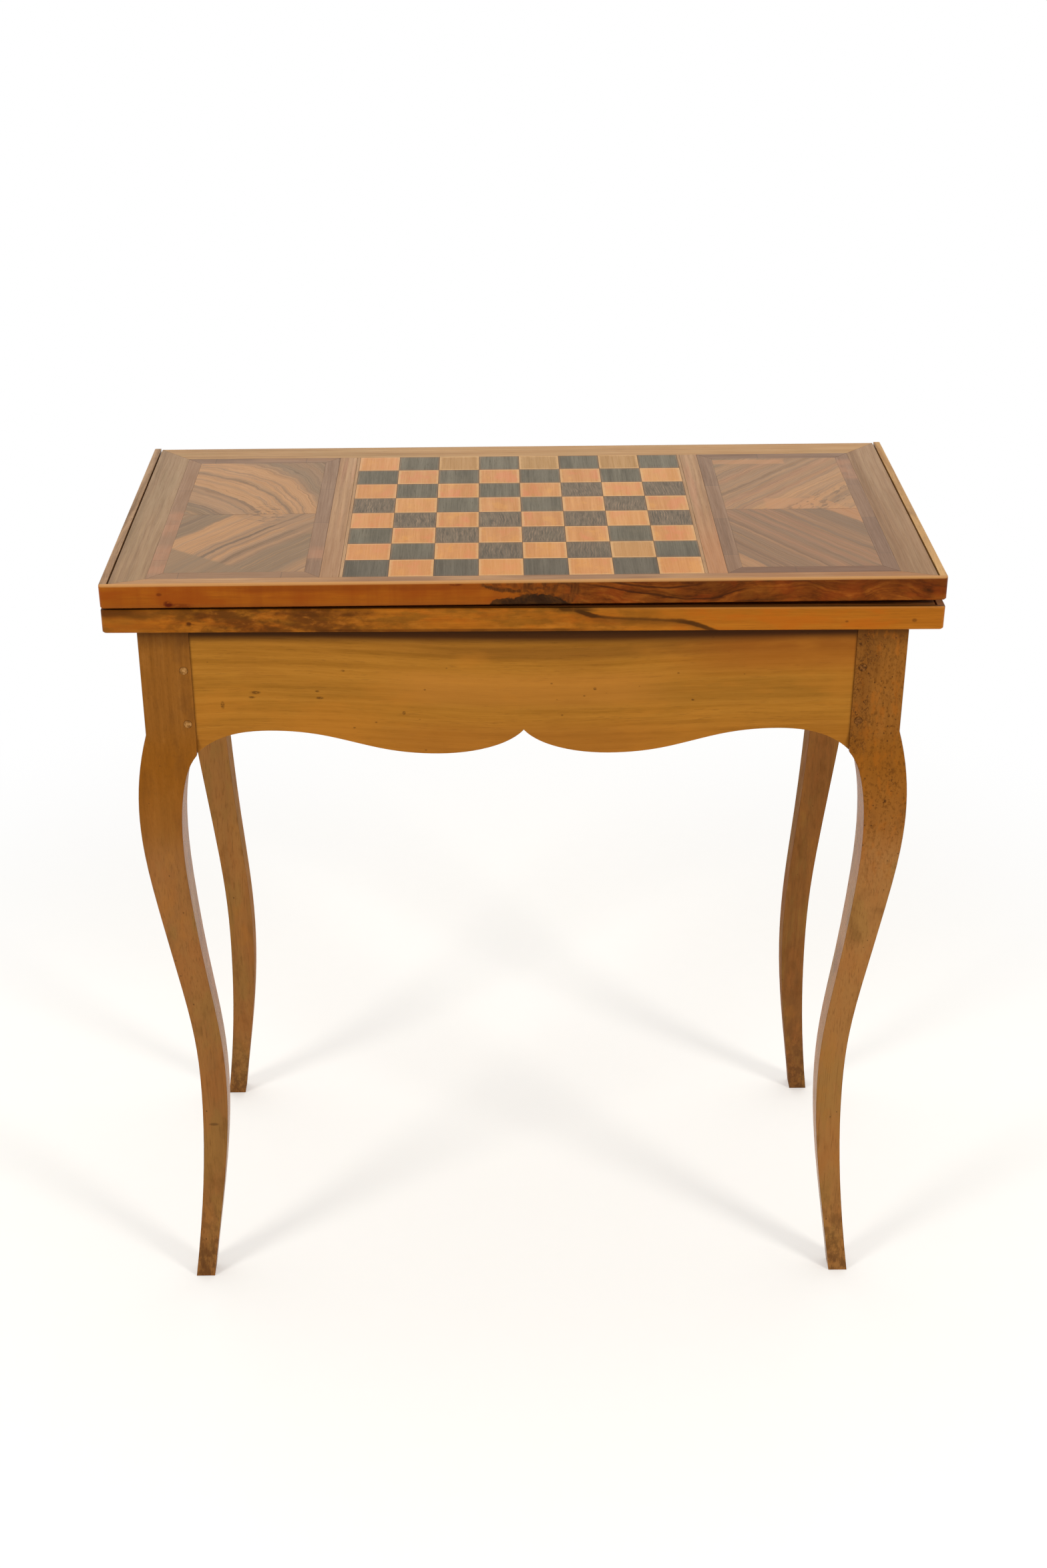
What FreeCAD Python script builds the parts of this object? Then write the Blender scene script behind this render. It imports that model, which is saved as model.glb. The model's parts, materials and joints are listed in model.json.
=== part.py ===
"""Folding chess and games table with four cabriole legs.

Two equal leaves are stacked on a shallow base. The upper leaf carries the inlaid
chess board and opens backwards on two brass hinges; both leaves then turn a quarter
about an off-centre iron pivot, so that the opened square top lies centred on the base.

Units are millimetres. X runs along the table, Y from front to back, Z up. The origin
is on the floor under the middle of the base.
"""
import FreeCAD, Part
import math
import os

# ---- leaves ----
LEAF_LENGTH = 720.0
LEAF_DEPTH = 353.0
LEAF_THICKNESS = 21.0
LEAF_CLEARANCE = 0.3
GAP_LEFT = 1.5
GAP_RIGHT = 6.2
LIPPING = 4.5
LIPPING_CORNER = 4.0
LEAF_ARRIS = 1.0
END_STRIP = 6.5
END_GROOVE = 1.7
TONGUE_THICKNESS = 7.0
TONGUE_DEPTH = 8.0
TONGUE_END_ROOM = 0.5
TONGUE_SHORT = 20.0
UPPER_STRIP_PROUD = 3.0
BAIZE_THICKNESS = 1.2
BAIZE_SIDE_MARGIN = 30.0
BAIZE_FRONT_MARGIN = 26.0
BAIZE_HINGE_MARGIN = 10.0
BAIZE_ROOM = 0.2

# ---- base: the leaves overhang the outside of the leg stiles ----
END_OVERHANG = 28.0
FRONT_OVERHANG = 8.5
RAIL_TOP = 713.0

# ---- leg; knee heights are measured down from the rail top, the rest up from the floor ----
STILE = 44.0
WAIST_DROP = 101.0
KNEE_INNER_DROP = 119.0
# Points of the sawing outline: (outwards from the stile's outer face, drop or height).
KNEE_OUTER = (9.6, 157.0)
CALF_OUTER = [(3.3, 444.0), (-8.5, 356.0), (-18.2, 268.0)]
ANKLE_OUTER = (-19.4, 200.0)
SHIN_OUTER = (-15.0, 112.0)
TOE_OUTER = -2.2
KNEE_INNER = [(-38.5, 127.0), (-31.5, 148.0), (-27.0, 186.0)]
CALF_INNER = [(-28.6, 444.0), (-35.5, 356.0), (-43.2, 270.0)]
ANKLE_INNER = (-44.2, 210.0)
SHIN_INNER = [(-39.0, 135.0), (-31.0, 73.0)]
TOE_INNER = -20.7

# ---- aprons; depths are measured down from the rail top ----
APRON_THICKNESS = 22.0
APRON_SETBACK = 1.0
CREST_DEPTH = 97.6
LOBE_DEPTH = 121.0
CUSP_DEPTH = 98.0
LONG_CREST_IN = 64.0
LONG_LOBE_X = 75.0
SHORT_CREST_IN = 38.0
SHORT_LOBE_X = 32.0
# The knee's curve runs on into the apron at 45 degrees over this length.
KNEE_RUN = 13.0
# Fullness of the scallops: shares of the distance between two of their turning points.
CREST_FULLNESS = 0.5
SWEEP_FULLNESS = 0.44
LOBE_FULLNESS = 0.4
CUSP_LEAN = 0.18
CUSP_SHARPNESS = 0.68
ARC_TOLERANCE = 0.1

# ---- apron tenons and their pegs ----
TENON_THICKNESS = 9.0
TENON_LENGTH = 26.0
TENON_TOP_SHOULDER = 14.0
TENON_BOTTOM_SHOULDER = 15.0
MORTISE_END_ROOM = 1.0
PEG_RADIUS = 3.5
PEG_SIDES = 12
PEG_LENGTH = 30.0
PEG_PROUD = 0.6
PEG_FIT = 0.05
PEG_FROM_JOINT = 6.5
PEG_DROPS = (39.0, 90.4)

# ---- cross bearer that holds the pivot ----
BEARER_WIDTH = 70.0
BEARER_THICKNESS = 20.0
DOVETAIL_LENGTH = 12.0
DOVETAIL_ROOT = 46.0
DOVETAIL_END = 56.0

# ---- storage well under the top ----
WELL_DEPTH = 65.0
WELL_BOARD_THICKNESS = 8.0
WELL_BOARD_ROOM = 0.5
FILLET_STRIP = 14.0

# ---- veneers of the upper leaf ----
VENEER = 1.5
VENEER_JOINT = 0.25
BOARD_CELLS = 8
SIDE_BAND = 30.0
FRONT_BAND = 10.0
BACK_BAND = 29.7
STRINGING = 3.0
FLANK_STRIP = 16.8
FRAME_BAND = 13.4

# Squares whose veneer differs from the rest, as (row from the back, column from the left).
WORN_LIGHT_CELLS = [(0, 2), (0, 4), (0, 6), (6, 6)]
BROWN_DARK_CELLS = [
    (2, 5), (2, 7), (3, 0), (3, 6), (4, 1), (4, 3), (4, 5), (4, 7),
    (5, 2), (5, 4), (6, 3), (6, 5),
]

# ---- hinges between the leaves ----
HINGE_FROM_END = 130.0
HINGE_AXIS_OUT = 2.0
HINGE_LENGTH = 60.0
HINGE_PLATE = 1.8
HINGE_PLATE_HEIGHT = 17.0
KNUCKLE_RADIUS = 3.0
KNUCKLE_COUNT = 3
KNUCKLE_GAP = 0.3
HINGE_PIN_RADIUS = 1.5
HINGE_PIN_FIT = 0.06
HINGE_RECESS_ROOM = 0.2
KNUCKLE_ROOM = 0.5

# ---- swivel pivot ----
PIVOT_RADIUS = 6.0
PIVOT_FIT = 0.3
PIVOT_PLATE = (64.0, 44.0, 3.0)
PIVOT_PLATE_ROOM = 0.1
WASHER_RADIUS = 18.0
WASHER_THICKNESS = 3.0
NUT_ACROSS = 22.0
NUT_HEIGHT = 10.0
NUT_RUNNING_GAP = 0.3
NUT_FIT = 0.05
PIVOT_TAIL = 4.0

# ---- places worked out from the sizes above ----
LEAF_HALF_X = LEAF_LENGTH / 2
LEAF_HALF_Y = LEAF_DEPTH / 2
BASE_HALF_X = LEAF_HALF_X - END_OVERHANG
BASE_HALF_Y = LEAF_HALF_Y - FRONT_OVERHANG
JOINT_X = BASE_HALF_X - STILE
JOINT_Y = BASE_HALF_Y - STILE
WAIST_Z = RAIL_TOP - WAIST_DROP
KNEE_INNER_Z = RAIL_TOP - KNEE_INNER_DROP
APRON_FACE_IN = APRON_SETBACK + APRON_THICKNESS
TENON_FACE_OUT = APRON_SETBACK + (APRON_THICKNESS - TENON_THICKNESS) / 2
TENON_TOP = RAIL_TOP - TENON_TOP_SHOULDER
TENON_BOTTOM = KNEE_INNER_Z + TENON_BOTTOM_SHOULDER
BEARER_BOTTOM = RAIL_TOP - BEARER_THICKNESS
WELL_BOARD_Z = RAIL_TOP - WELL_DEPTH - WELL_BOARD_THICKNESS
PANEL_HALF_X = LEAF_HALF_X - END_STRIP - END_GROOVE
PANEL_FRONT = LIPPING - LEAF_HALF_Y
LOWER_BOTTOM = RAIL_TOP + LEAF_CLEARANCE
LOWER_TOP = LOWER_BOTTOM + LEAF_THICKNESS
GAP_MIDDLE = (GAP_LEFT + GAP_RIGHT) / 2
UPPER_TILT = math.degrees(math.atan((GAP_RIGHT - GAP_LEFT) / LEAF_LENGTH))
HINGE_X = LEAF_HALF_X - HINGE_FROM_END
HINGE_Y = LEAF_HALF_Y + HINGE_AXIS_OUT
PIVOT_X = HINGE_Y / 2
PIVOT_Y = HINGE_Y / 2
CORE_TOP = LEAF_THICKNESS - VENEER
BOARD_FRONT = PANEL_FRONT + FRONT_BAND
BOARD_BACK = LEAF_HALF_Y - BACK_BAND
SQUARE = (BOARD_BACK - BOARD_FRONT) / BOARD_CELLS
BOARD_HALF_X = BOARD_CELLS * SQUARE / 2
FLANK_START = BOARD_HALF_X + STRINGING
FRAME_START = FLANK_START + FLANK_STRIP
FRAME_END = PANEL_HALF_X - SIDE_BAND
SAME_PLACE = 0.01

X_AXIS = FreeCAD.Vector(1, 0, 0)
Y_AXIS = FreeCAD.Vector(0, 1, 0)
Z_AXIS = FreeCAD.Vector(0, 0, 1)
ORIGIN = FreeCAD.Vector(0, 0, 0)


# ---------------------------------------------------------------- small tools
def box(x0, x1, y0, y1, z0, z1):
    """Block between two corners."""
    return Part.makeBox(x1 - x0, y1 - y0, z1 - z0, FreeCAD.Vector(x0, y0, z0))


def flat_prism(points, z0, z1):
    """Upright prism on a polygon given as (x, y) points."""
    corners = [FreeCAD.Vector(x, y, z0) for x, y in points]
    face = Part.Face(Part.makePolygon(corners + corners[:1]))
    return face.extrude(FreeCAD.Vector(0, 0, z1 - z0))


def mirrored_x(shape):
    """The same piece on the other end of the table."""
    return shape.mirror(ORIGIN, X_AXIS)


def mirrored_y(shape):
    """The same piece on the other long side of the table."""
    return shape.mirror(ORIGIN, Y_AXIS)


def curve_through(points):
    """Smooth edge through a few points."""
    curve = Part.BSplineCurve()
    curve.interpolate(Points=points)
    return curve.toShape()


def sweep_of_arcs(poles):
    """Tangent arcs that follow the Bezier curve on these poles; an S turns in its middle."""
    arcs = []
    for start, end in ((0.0, 0.5), (0.5, 1.0)):
        half = Part.BezierCurve()
        half.setPoles(poles)
        half.segment(start, end)
        arcs += [arc.toShape() for arc in half.toBSpline().toBiArcs(ARC_TOLERANCE)]
    return arcs


def export(node, shape):
    """Write one sub-part."""
    shape.exportStep("parts/" + node + ".step")


# ---------------------------------------------------------------- base: legs
def leg_outline(place):
    """Closed sawing outline of a leg; place(u, z) sets the plane it lies in."""
    outer_points = [(0.0, WAIST_Z), (KNEE_OUTER[0], RAIL_TOP - KNEE_OUTER[1])] + CALF_OUTER
    outer_points += [ANKLE_OUTER, SHIN_OUTER, (TOE_OUTER, 0.0)]
    inner_points = [(-STILE, KNEE_INNER_Z)] + [(u, RAIL_TOP - drop) for u, drop in KNEE_INNER]
    inner_points += CALF_INNER + [ANKLE_INNER] + SHIN_INNER + [(TOE_INNER, 0.0)]
    outer = [place(u, z) for u, z in outer_points]
    inner = [place(u, z) for u, z in reversed(inner_points)]
    edges = [
        Part.makeLine(place(0.0, RAIL_TOP), outer[0]),
        curve_through(outer),
        Part.makeLine(outer[-1], inner[0]),
        curve_through(inner),
        Part.makeLine(inner[-1], place(-STILE, RAIL_TOP)),
        Part.makeLine(place(-STILE, RAIL_TOP), place(0.0, RAIL_TOP)),
    ]
    return Part.Face(Part.Wire(edges))


def leg_front_right():
    """Cabriole leg sawn from a square post on two faces, in one piece with its stile."""
    reach = 2 * STILE
    front = leg_outline(lambda u, z: FreeCAD.Vector(BASE_HALF_X + u, -BASE_HALF_Y - reach, z))
    side = leg_outline(lambda u, z: FreeCAD.Vector(BASE_HALF_X - reach, -BASE_HALF_Y - u, z))
    leg = front.extrude(Y_AXIS * 2 * reach).common(side.extrude(X_AXIS * 2 * reach))
    leg = leg.cut(long_tenon(MORTISE_END_ROOM))
    leg = leg.cut(short_tenon(MORTISE_END_ROOM))
    for peg in leg_pegs(PEG_RADIUS + PEG_FIT, 0.0):
        leg = leg.cut(peg)
    return leg


def hewn_peg(radius, proud):
    """Peg hewn to PEG_SIDES flats, head up, with the face it is driven into at z = 0."""
    corners = []
    for index in range(PEG_SIDES):
        turn = 2 * math.pi * (index + 0.5) / PEG_SIDES
        corners.append((radius * math.cos(turn), radius * math.sin(turn)))
    return flat_prism(corners, -PEG_LENGTH, proud)


def leg_pegs(radius, proud):
    """Four pegs of the front right leg: two through each tenon."""
    pegs = []
    for drop in PEG_DROPS:
        height = RAIL_TOP - drop
        front = hewn_peg(radius, proud)
        front.rotate(ORIGIN, X_AXIS, 90)
        front.translate(FreeCAD.Vector(JOINT_X + PEG_FROM_JOINT, -BASE_HALF_Y, height))
        side = hewn_peg(radius, proud)
        side.rotate(ORIGIN, Y_AXIS, 90)
        side.translate(FreeCAD.Vector(BASE_HALF_X, -JOINT_Y - PEG_FROM_JOINT, height))
        pegs += [front, side]
    return pegs


# ---------------------------------------------------------------- base: aprons
def scalloped_edge(half_length, crest_x, lobe_x):
    """Lower edge of an apron from its right joint to the middle: crest, lobe and cusp."""
    rise = (half_length - crest_x) * CREST_FULLNESS
    sweep = (crest_x - lobe_x) * SWEEP_FULLNESS
    cusp_pull = lobe_x * LOBE_FULLNESS
    joint = FreeCAD.Vector(half_length, 0, KNEE_INNER_Z)
    crest = FreeCAD.Vector(crest_x, 0, RAIL_TOP - CREST_DEPTH)
    lobe = FreeCAD.Vector(lobe_x, 0, RAIL_TOP - LOBE_DEPTH)
    cusp = FreeCAD.Vector(0, 0, RAIL_TOP - CUSP_DEPTH)
    toward_crest = joint + FreeCAD.Vector(-KNEE_RUN, 0, KNEE_RUN)
    before_crest = crest + X_AXIS * rise
    after_crest = crest - X_AXIS * sweep
    before_lobe = lobe + X_AXIS * sweep
    after_lobe = lobe - X_AXIS * cusp_pull
    cusp_fall = (lobe.z - cusp.z) * CUSP_SHARPNESS
    before_cusp = cusp + FreeCAD.Vector(lobe_x * CUSP_LEAN, 0, cusp_fall)
    edges = sweep_of_arcs([joint, toward_crest, before_crest, crest])
    edges += sweep_of_arcs([crest, after_crest, before_lobe, lobe])
    return edges + sweep_of_arcs([lobe, after_lobe, before_cusp, cusp])


def apron(half_length, crest_x, lobe_x):
    """Apron board standing on the XZ plane with its outer face at y = 0."""
    right = scalloped_edge(half_length, crest_x, lobe_x)
    left = [mirrored_x(edge) for edge in right]
    top_right = FreeCAD.Vector(half_length, 0, RAIL_TOP)
    top_left = FreeCAD.Vector(-half_length, 0, RAIL_TOP)
    ends = [
        Part.makeLine(top_left, top_right),
        Part.makeLine(top_right, FreeCAD.Vector(half_length, 0, KNEE_INNER_Z)),
        Part.makeLine(top_left, FreeCAD.Vector(-half_length, 0, KNEE_INNER_Z)),
    ]
    outline = Part.Wire(Part.__sortEdges__(ends + right + left))
    return Part.Face(outline).extrude(Y_AXIS * APRON_THICKNESS)


def long_tenon(end_room=0.0):
    """Tenon at the right end of the front apron, or the mortise for it."""
    return box(
        JOINT_X, JOINT_X + TENON_LENGTH + end_room,
        TENON_FACE_OUT - BASE_HALF_Y, TENON_FACE_OUT + TENON_THICKNESS - BASE_HALF_Y,
        TENON_BOTTOM, TENON_TOP,
    )


def short_tenon(end_room=0.0):
    """Tenon at the front end of the right apron, or the mortise for it."""
    return box(
        BASE_HALF_X - TENON_FACE_OUT - TENON_THICKNESS, BASE_HALF_X - TENON_FACE_OUT,
        -JOINT_Y - TENON_LENGTH - end_room, -JOINT_Y,
        TENON_BOTTOM, TENON_TOP,
    )


def front_apron():
    """Long apron with a tenon at each end and a socket for the bearer's dovetail."""
    board = apron(JOINT_X, JOINT_X - LONG_CREST_IN, LONG_LOBE_X)
    board.translate(Y_AXIS * (APRON_SETBACK - BASE_HALF_Y))
    tenon = long_tenon()
    board = board.fuse([tenon, mirrored_x(tenon)]).removeSplitter()
    for peg in leg_pegs(PEG_RADIUS + PEG_FIT, 0.0):
        board = board.cut([peg, mirrored_x(peg)])
    return board.cut(bearer_dovetail())


def right_apron():
    """Short apron with a tenon at each end."""
    board = apron(JOINT_Y, JOINT_Y - SHORT_CREST_IN, SHORT_LOBE_X)
    board.rotate(ORIGIN, Z_AXIS, 90)
    board.translate(X_AXIS * (BASE_HALF_X - APRON_SETBACK))
    tenon = short_tenon()
    board = board.fuse([tenon, mirrored_y(tenon)]).removeSplitter()
    for peg in leg_pegs(PEG_RADIUS + PEG_FIT, 0.0):
        board = board.cut([peg, mirrored_y(peg)])
    return board


# ---------------------------------------------------------------- base: bearer and well
def bearer_dovetail():
    """Dovetail of the bearer in the top edge of the front apron."""
    shoulder_y = APRON_FACE_IN - BASE_HALF_Y
    outline = [
        (PIVOT_X - DOVETAIL_ROOT / 2, shoulder_y),
        (PIVOT_X + DOVETAIL_ROOT / 2, shoulder_y),
        (PIVOT_X + DOVETAIL_END / 2, shoulder_y - DOVETAIL_LENGTH),
        (PIVOT_X - DOVETAIL_END / 2, shoulder_y - DOVETAIL_LENGTH),
    ]
    return flat_prism(outline, BEARER_BOTTOM, RAIL_TOP)


def pivot_bearer():
    """Cross rail, dovetailed into both long aprons, with the hole for the pivot."""
    shoulder_y = BASE_HALF_Y - APRON_FACE_IN
    rail = box(
        PIVOT_X - BEARER_WIDTH / 2, PIVOT_X + BEARER_WIDTH / 2,
        -shoulder_y, shoulder_y, BEARER_BOTTOM, RAIL_TOP,
    )
    rail = rail.fuse([bearer_dovetail(), mirrored_y(bearer_dovetail())]).removeSplitter()
    hole_start = FreeCAD.Vector(PIVOT_X, PIVOT_Y, BEARER_BOTTOM)
    return rail.cut(Part.makeCylinder(PIVOT_RADIUS + PIVOT_FIT, BEARER_THICKNESS, hole_start))


def well_board():
    """Bottom of the well, notched round the four stiles."""
    half_x = BASE_HALF_X - APRON_FACE_IN - WELL_BOARD_ROOM
    half_y = BASE_HALF_Y - APRON_FACE_IN - WELL_BOARD_ROOM
    notch_x = JOINT_X - WELL_BOARD_ROOM
    notch_y = JOINT_Y - WELL_BOARD_ROOM
    top = WELL_BOARD_Z + WELL_BOARD_THICKNESS
    along = box(-half_x, half_x, -notch_y, notch_y, WELL_BOARD_Z, top)
    across = box(-notch_x, notch_x, -half_y, half_y, WELL_BOARD_Z, top)
    return along.fuse(across).removeSplitter()


def front_well_strip():
    """Glued strip on the front apron that carries the well board."""
    inner_face = BASE_HALF_Y - APRON_FACE_IN
    return box(
        -JOINT_X, JOINT_X, -inner_face, FILLET_STRIP - inner_face,
        WELL_BOARD_Z - FILLET_STRIP, WELL_BOARD_Z,
    )


def right_well_strip():
    """Glued strip on the right apron that carries the well board."""
    inner_face = BASE_HALF_X - APRON_FACE_IN
    return box(
        inner_face - FILLET_STRIP, inner_face, -JOINT_Y, JOINT_Y,
        WELL_BOARD_Z - FILLET_STRIP, WELL_BOARD_Z,
    )


# ---------------------------------------------------------------- swivel pivot
def pivot_plate(room=0.0):
    """Iron plate let into the underside of the lower leaf."""
    length, width, thickness = PIVOT_PLATE
    return box(
        PIVOT_X - length / 2 - room, PIVOT_X + length / 2 + room,
        PIVOT_Y - width / 2 - room, PIVOT_Y + width / 2 + room,
        LOWER_BOTTOM, LOWER_BOTTOM + thickness,
    )


def pivot_stack():
    """Heights of the washer's and the nut's undersides, and of the pivot's tip."""
    washer = BEARER_BOTTOM - WASHER_THICKNESS
    nut = washer - NUT_RUNNING_GAP - NUT_HEIGHT
    return washer, nut, nut - PIVOT_TAIL


def pivot_bolt():
    """Shank hanging from its plate down through the bearer."""
    tip = pivot_stack()[2]
    start = FreeCAD.Vector(PIVOT_X, PIVOT_Y, tip)
    shank = Part.makeCylinder(PIVOT_RADIUS, LOWER_BOTTOM - tip, start)
    shank = shank.makeChamfer(1.0, [shank.Edges[2]])
    return pivot_plate().fuse(shank).removeSplitter()


def pivot_washer():
    """Flat ring under the bearer."""
    start = FreeCAD.Vector(PIVOT_X, PIVOT_Y, pivot_stack()[0])
    ring = Part.makeCylinder(WASHER_RADIUS, WASHER_THICKNESS, start)
    return ring.cut(Part.makeCylinder(PIVOT_RADIUS + PIVOT_FIT, WASHER_THICKNESS, start))


def pivot_nut():
    """Square nut that keeps the leaves on the base."""
    half = NUT_ACROSS / 2
    bottom = pivot_stack()[1]
    block = box(
        PIVOT_X - half, PIVOT_X + half, PIVOT_Y - half, PIVOT_Y + half, bottom, bottom + NUT_HEIGHT,
    )
    start = FreeCAD.Vector(PIVOT_X, PIVOT_Y, bottom)
    return block.cut(Part.makeCylinder(PIVOT_RADIUS + NUT_FIT, NUT_HEIGHT, start))


# ---------------------------------------------------------------- leaves, drawn lying on z = 0
def leaf_core(thickness):
    """Solid board of a leaf with a slot in each end for the strips' tongues."""
    board = box(-PANEL_HALF_X, PANEL_HALF_X, PANEL_FRONT, LEAF_HALF_Y, 0, thickness)
    slot = strip_tongue(TONGUE_END_ROOM)
    return board.cut([slot, mirrored_x(slot)])


def strip_tongue(end_room=0.0):
    """Tongue of the right end strip, or the slot for it."""
    middle = LEAF_THICKNESS / 2
    return box(
        PANEL_HALF_X - TONGUE_DEPTH - end_room, LEAF_HALF_X - END_STRIP,
        PANEL_FRONT, LEAF_HALF_Y - TONGUE_SHORT,
        middle - TONGUE_THICKNESS / 2, middle + TONGUE_THICKNESS / 2,
    )


def end_strip(proud):
    """Cross strip on the right end, standing off the panel by an open groove."""
    strip = box(
        LEAF_HALF_X - END_STRIP, LEAF_HALF_X, PANEL_FRONT, LEAF_HALF_Y + proud, 0, LEAF_THICKNESS,
    )
    outer_edges = [
        edge for edge in strip.Edges
        if abs(edge.CenterOfMass.x - LEAF_HALF_X) < SAME_PLACE
        and abs(edge.CenterOfMass.y - PANEL_FRONT) > SAME_PLACE
    ]
    return strip.makeFillet(LEAF_ARRIS, outer_edges).fuse(strip_tongue()).removeSplitter()


def front_lipping():
    """Solid lipping along the front edge, over the ends of both strips."""
    strip = box(-LEAF_HALF_X, LEAF_HALF_X, -LEAF_HALF_Y, PANEL_FRONT, 0, LEAF_THICKNESS)
    corners = [
        edge for edge in strip.Edges
        if edge.BoundBox.ZLength > LEAF_ARRIS and edge.BoundBox.YMax < PANEL_FRONT - LEAF_ARRIS
    ]
    strip = strip.makeFillet(LIPPING_CORNER, corners)
    front_arrises = [
        edge for edge in strip.Edges
        if edge.BoundBox.ZLength < SAME_PLACE and edge.CenterOfMass.y < PANEL_FRONT - LEAF_ARRIS
    ]
    return strip.makeChamfer(LEAF_ARRIS, front_arrises)


def baize(z0, room=0.0):
    """Cloth let into the inner face of a leaf, or the recess for it."""
    half_x = PANEL_HALF_X - BAIZE_SIDE_MARGIN + room
    front = PANEL_FRONT + BAIZE_FRONT_MARGIN - room
    back = LEAF_HALF_Y - BAIZE_HINGE_MARGIN + room
    return box(-half_x, half_x, front, back, z0, z0 + BAIZE_THICKNESS)


def on_lower_leaf(shape):
    """Lay a piece of the lower leaf on the base."""
    moved = shape.copy()
    moved.translate(Z_AXIS * LOWER_BOTTOM)
    return moved


def on_upper_leaf(shape):
    """Lay a piece of the upper leaf over the lower one, raised at its right end."""
    moved = shape.copy()
    moved.rotate(ORIGIN, Y_AXIS, -UPPER_TILT)
    moved.translate(Z_AXIS * (LOWER_TOP + GAP_MIDDLE))
    return moved


def at_hinge_axis(shape):
    """Move a piece drawn round the X axis to the hinge axis, half way between the leaves."""
    moved = shape.copy()
    moved.rotate(ORIGIN, Y_AXIS, -UPPER_TILT / 2)
    moved.translate(FreeCAD.Vector(0, HINGE_Y, LOWER_TOP + GAP_MIDDLE / 2))
    return moved


def lower_core():
    """Lower board with its baize recess, hinge recesses and the pivot plate's recess."""
    board = leaf_core(LEAF_THICKNESS).cut(baize(LEAF_THICKNESS - BAIZE_THICKNESS, BAIZE_ROOM))
    board = on_lower_leaf(board).cut(pivot_plate(PIVOT_PLATE_ROOM))
    return board.cut(hinge_recesses())


def upper_core():
    """Board under the veneers, with its baize recess below and the hinge recesses."""
    board = leaf_core(CORE_TOP).cut(baize(0.0, BAIZE_ROOM))
    return on_upper_leaf(board).cut(hinge_recesses())


# ---------------------------------------------------------------- hinges, drawn round the X axis
def knuckle_spans(first):
    """Start and end along the axis of every second knuckle, from the given one."""
    pitch = HINGE_LENGTH / KNUCKLE_COUNT
    spans = []
    for index in range(first, KNUCKLE_COUNT, 2):
        start = index * pitch - HINGE_LENGTH / 2
        spans.append((start + KNUCKLE_GAP / 2, start + pitch - KNUCKLE_GAP / 2))
    return spans


def axis_cylinder(radius, start, end):
    """Cylinder on the hinge axis."""
    return Part.makeCylinder(radius, end - start, FreeCAD.Vector(start, 0, 0), X_AXIS)


def hinge_half(first, other_first, up):
    """One plate with its knuckles; up is 1 for the upper leaf's plate and -1 for the lower's."""
    low, high = sorted((0.0, up * HINGE_PLATE_HEIGHT))
    half = HINGE_LENGTH / 2
    plate = box(-half, half, -KNUCKLE_RADIUS, HINGE_PLATE - KNUCKLE_RADIUS, low, high)
    notch_radius = KNUCKLE_RADIUS + KNUCKLE_GAP
    for start, end in knuckle_spans(other_first):
        plate = plate.cut(axis_cylinder(notch_radius, start - KNUCKLE_GAP, end + KNUCKLE_GAP))
    knuckles = [axis_cylinder(KNUCKLE_RADIUS, start, end) for start, end in knuckle_spans(first)]
    bore = axis_cylinder(HINGE_PIN_RADIUS + HINGE_PIN_FIT, -half, half)
    return plate.fuse(knuckles).cut(bore).removeSplitter()


def hinge_pin():
    """Pin through all the knuckles."""
    return axis_cylinder(HINGE_PIN_RADIUS, -HINGE_LENGTH / 2, HINGE_LENGTH / 2)


def hinge_recess():
    """Room for one hinge in the back edges of both leaves."""
    half = HINGE_LENGTH / 2 + HINGE_RECESS_ROOM
    height = HINGE_PLATE_HEIGHT + HINGE_RECESS_ROOM
    plates = box(-half, half, -KNUCKLE_RADIUS, 0, -height, height)
    barrel = axis_cylinder(KNUCKLE_RADIUS + KNUCKLE_ROOM, -half, half)
    return plates.fuse(barrel)


def at_hinge(shape, side):
    """Place a hinge piece at the left (-1) or right (1) hinge."""
    moved = shape.copy()
    moved.translate(X_AXIS * side * HINGE_X)
    return at_hinge_axis(moved)


def hinge_recesses():
    """Room for both hinges."""
    return [at_hinge(hinge_recess(), side) for side in (-1, 1)]


# ---------------------------------------------------------------- veneers of the upper leaf
def veneer(points):
    """Veneer piece on an (x, y) outline, laid on the core."""
    return on_upper_leaf(flat_prism(points, CORE_TOP, LEAF_THICKNESS))


def veneer_block(x0, x1, y0, y1):
    """Rectangular veneer with half a joint's gap on each side."""
    gap = VENEER_JOINT / 2
    return veneer([(x0 + gap, y0 + gap), (x1 - gap, y0 + gap), (x1 - gap, y1 - gap), (x0 + gap, y1 - gap)])


def mitred_ring(outer, inner):
    """Four mitred strips between two rectangles (x0, x1, y0, y1): front, right, back, left."""
    gap = VENEER_JOINT / 2
    ox0, ox1, oy0, oy1 = outer
    ix0, ix1, iy0, iy1 = inner
    front = [(ox0 + gap, oy0), (ox1 - gap, oy0), (ix1 - gap, iy0), (ix0 + gap, iy0)]
    right = [(ox1, oy0 + gap), (ox1, oy1 - gap), (ix1, iy1 - gap), (ix1, iy0 + gap)]
    back = [(ox1 - gap, oy1), (ox0 + gap, oy1), (ix0 + gap, iy1), (ix1 - gap, iy1)]
    left = [(ox0, oy1 - gap), (ox0, oy0 + gap), (ix0, iy0 + gap), (ix0, iy1 - gap)]
    return [veneer(points) for points in (front, right, back, left)]


def outer_bands():
    """Wide border of the top."""
    outer = (-PANEL_HALF_X, PANEL_HALF_X, PANEL_FRONT, LEAF_HALF_Y)
    inner = (-FRAME_END, FRAME_END, BOARD_FRONT, BOARD_BACK)
    return mitred_ring(outer, inner)


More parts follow.
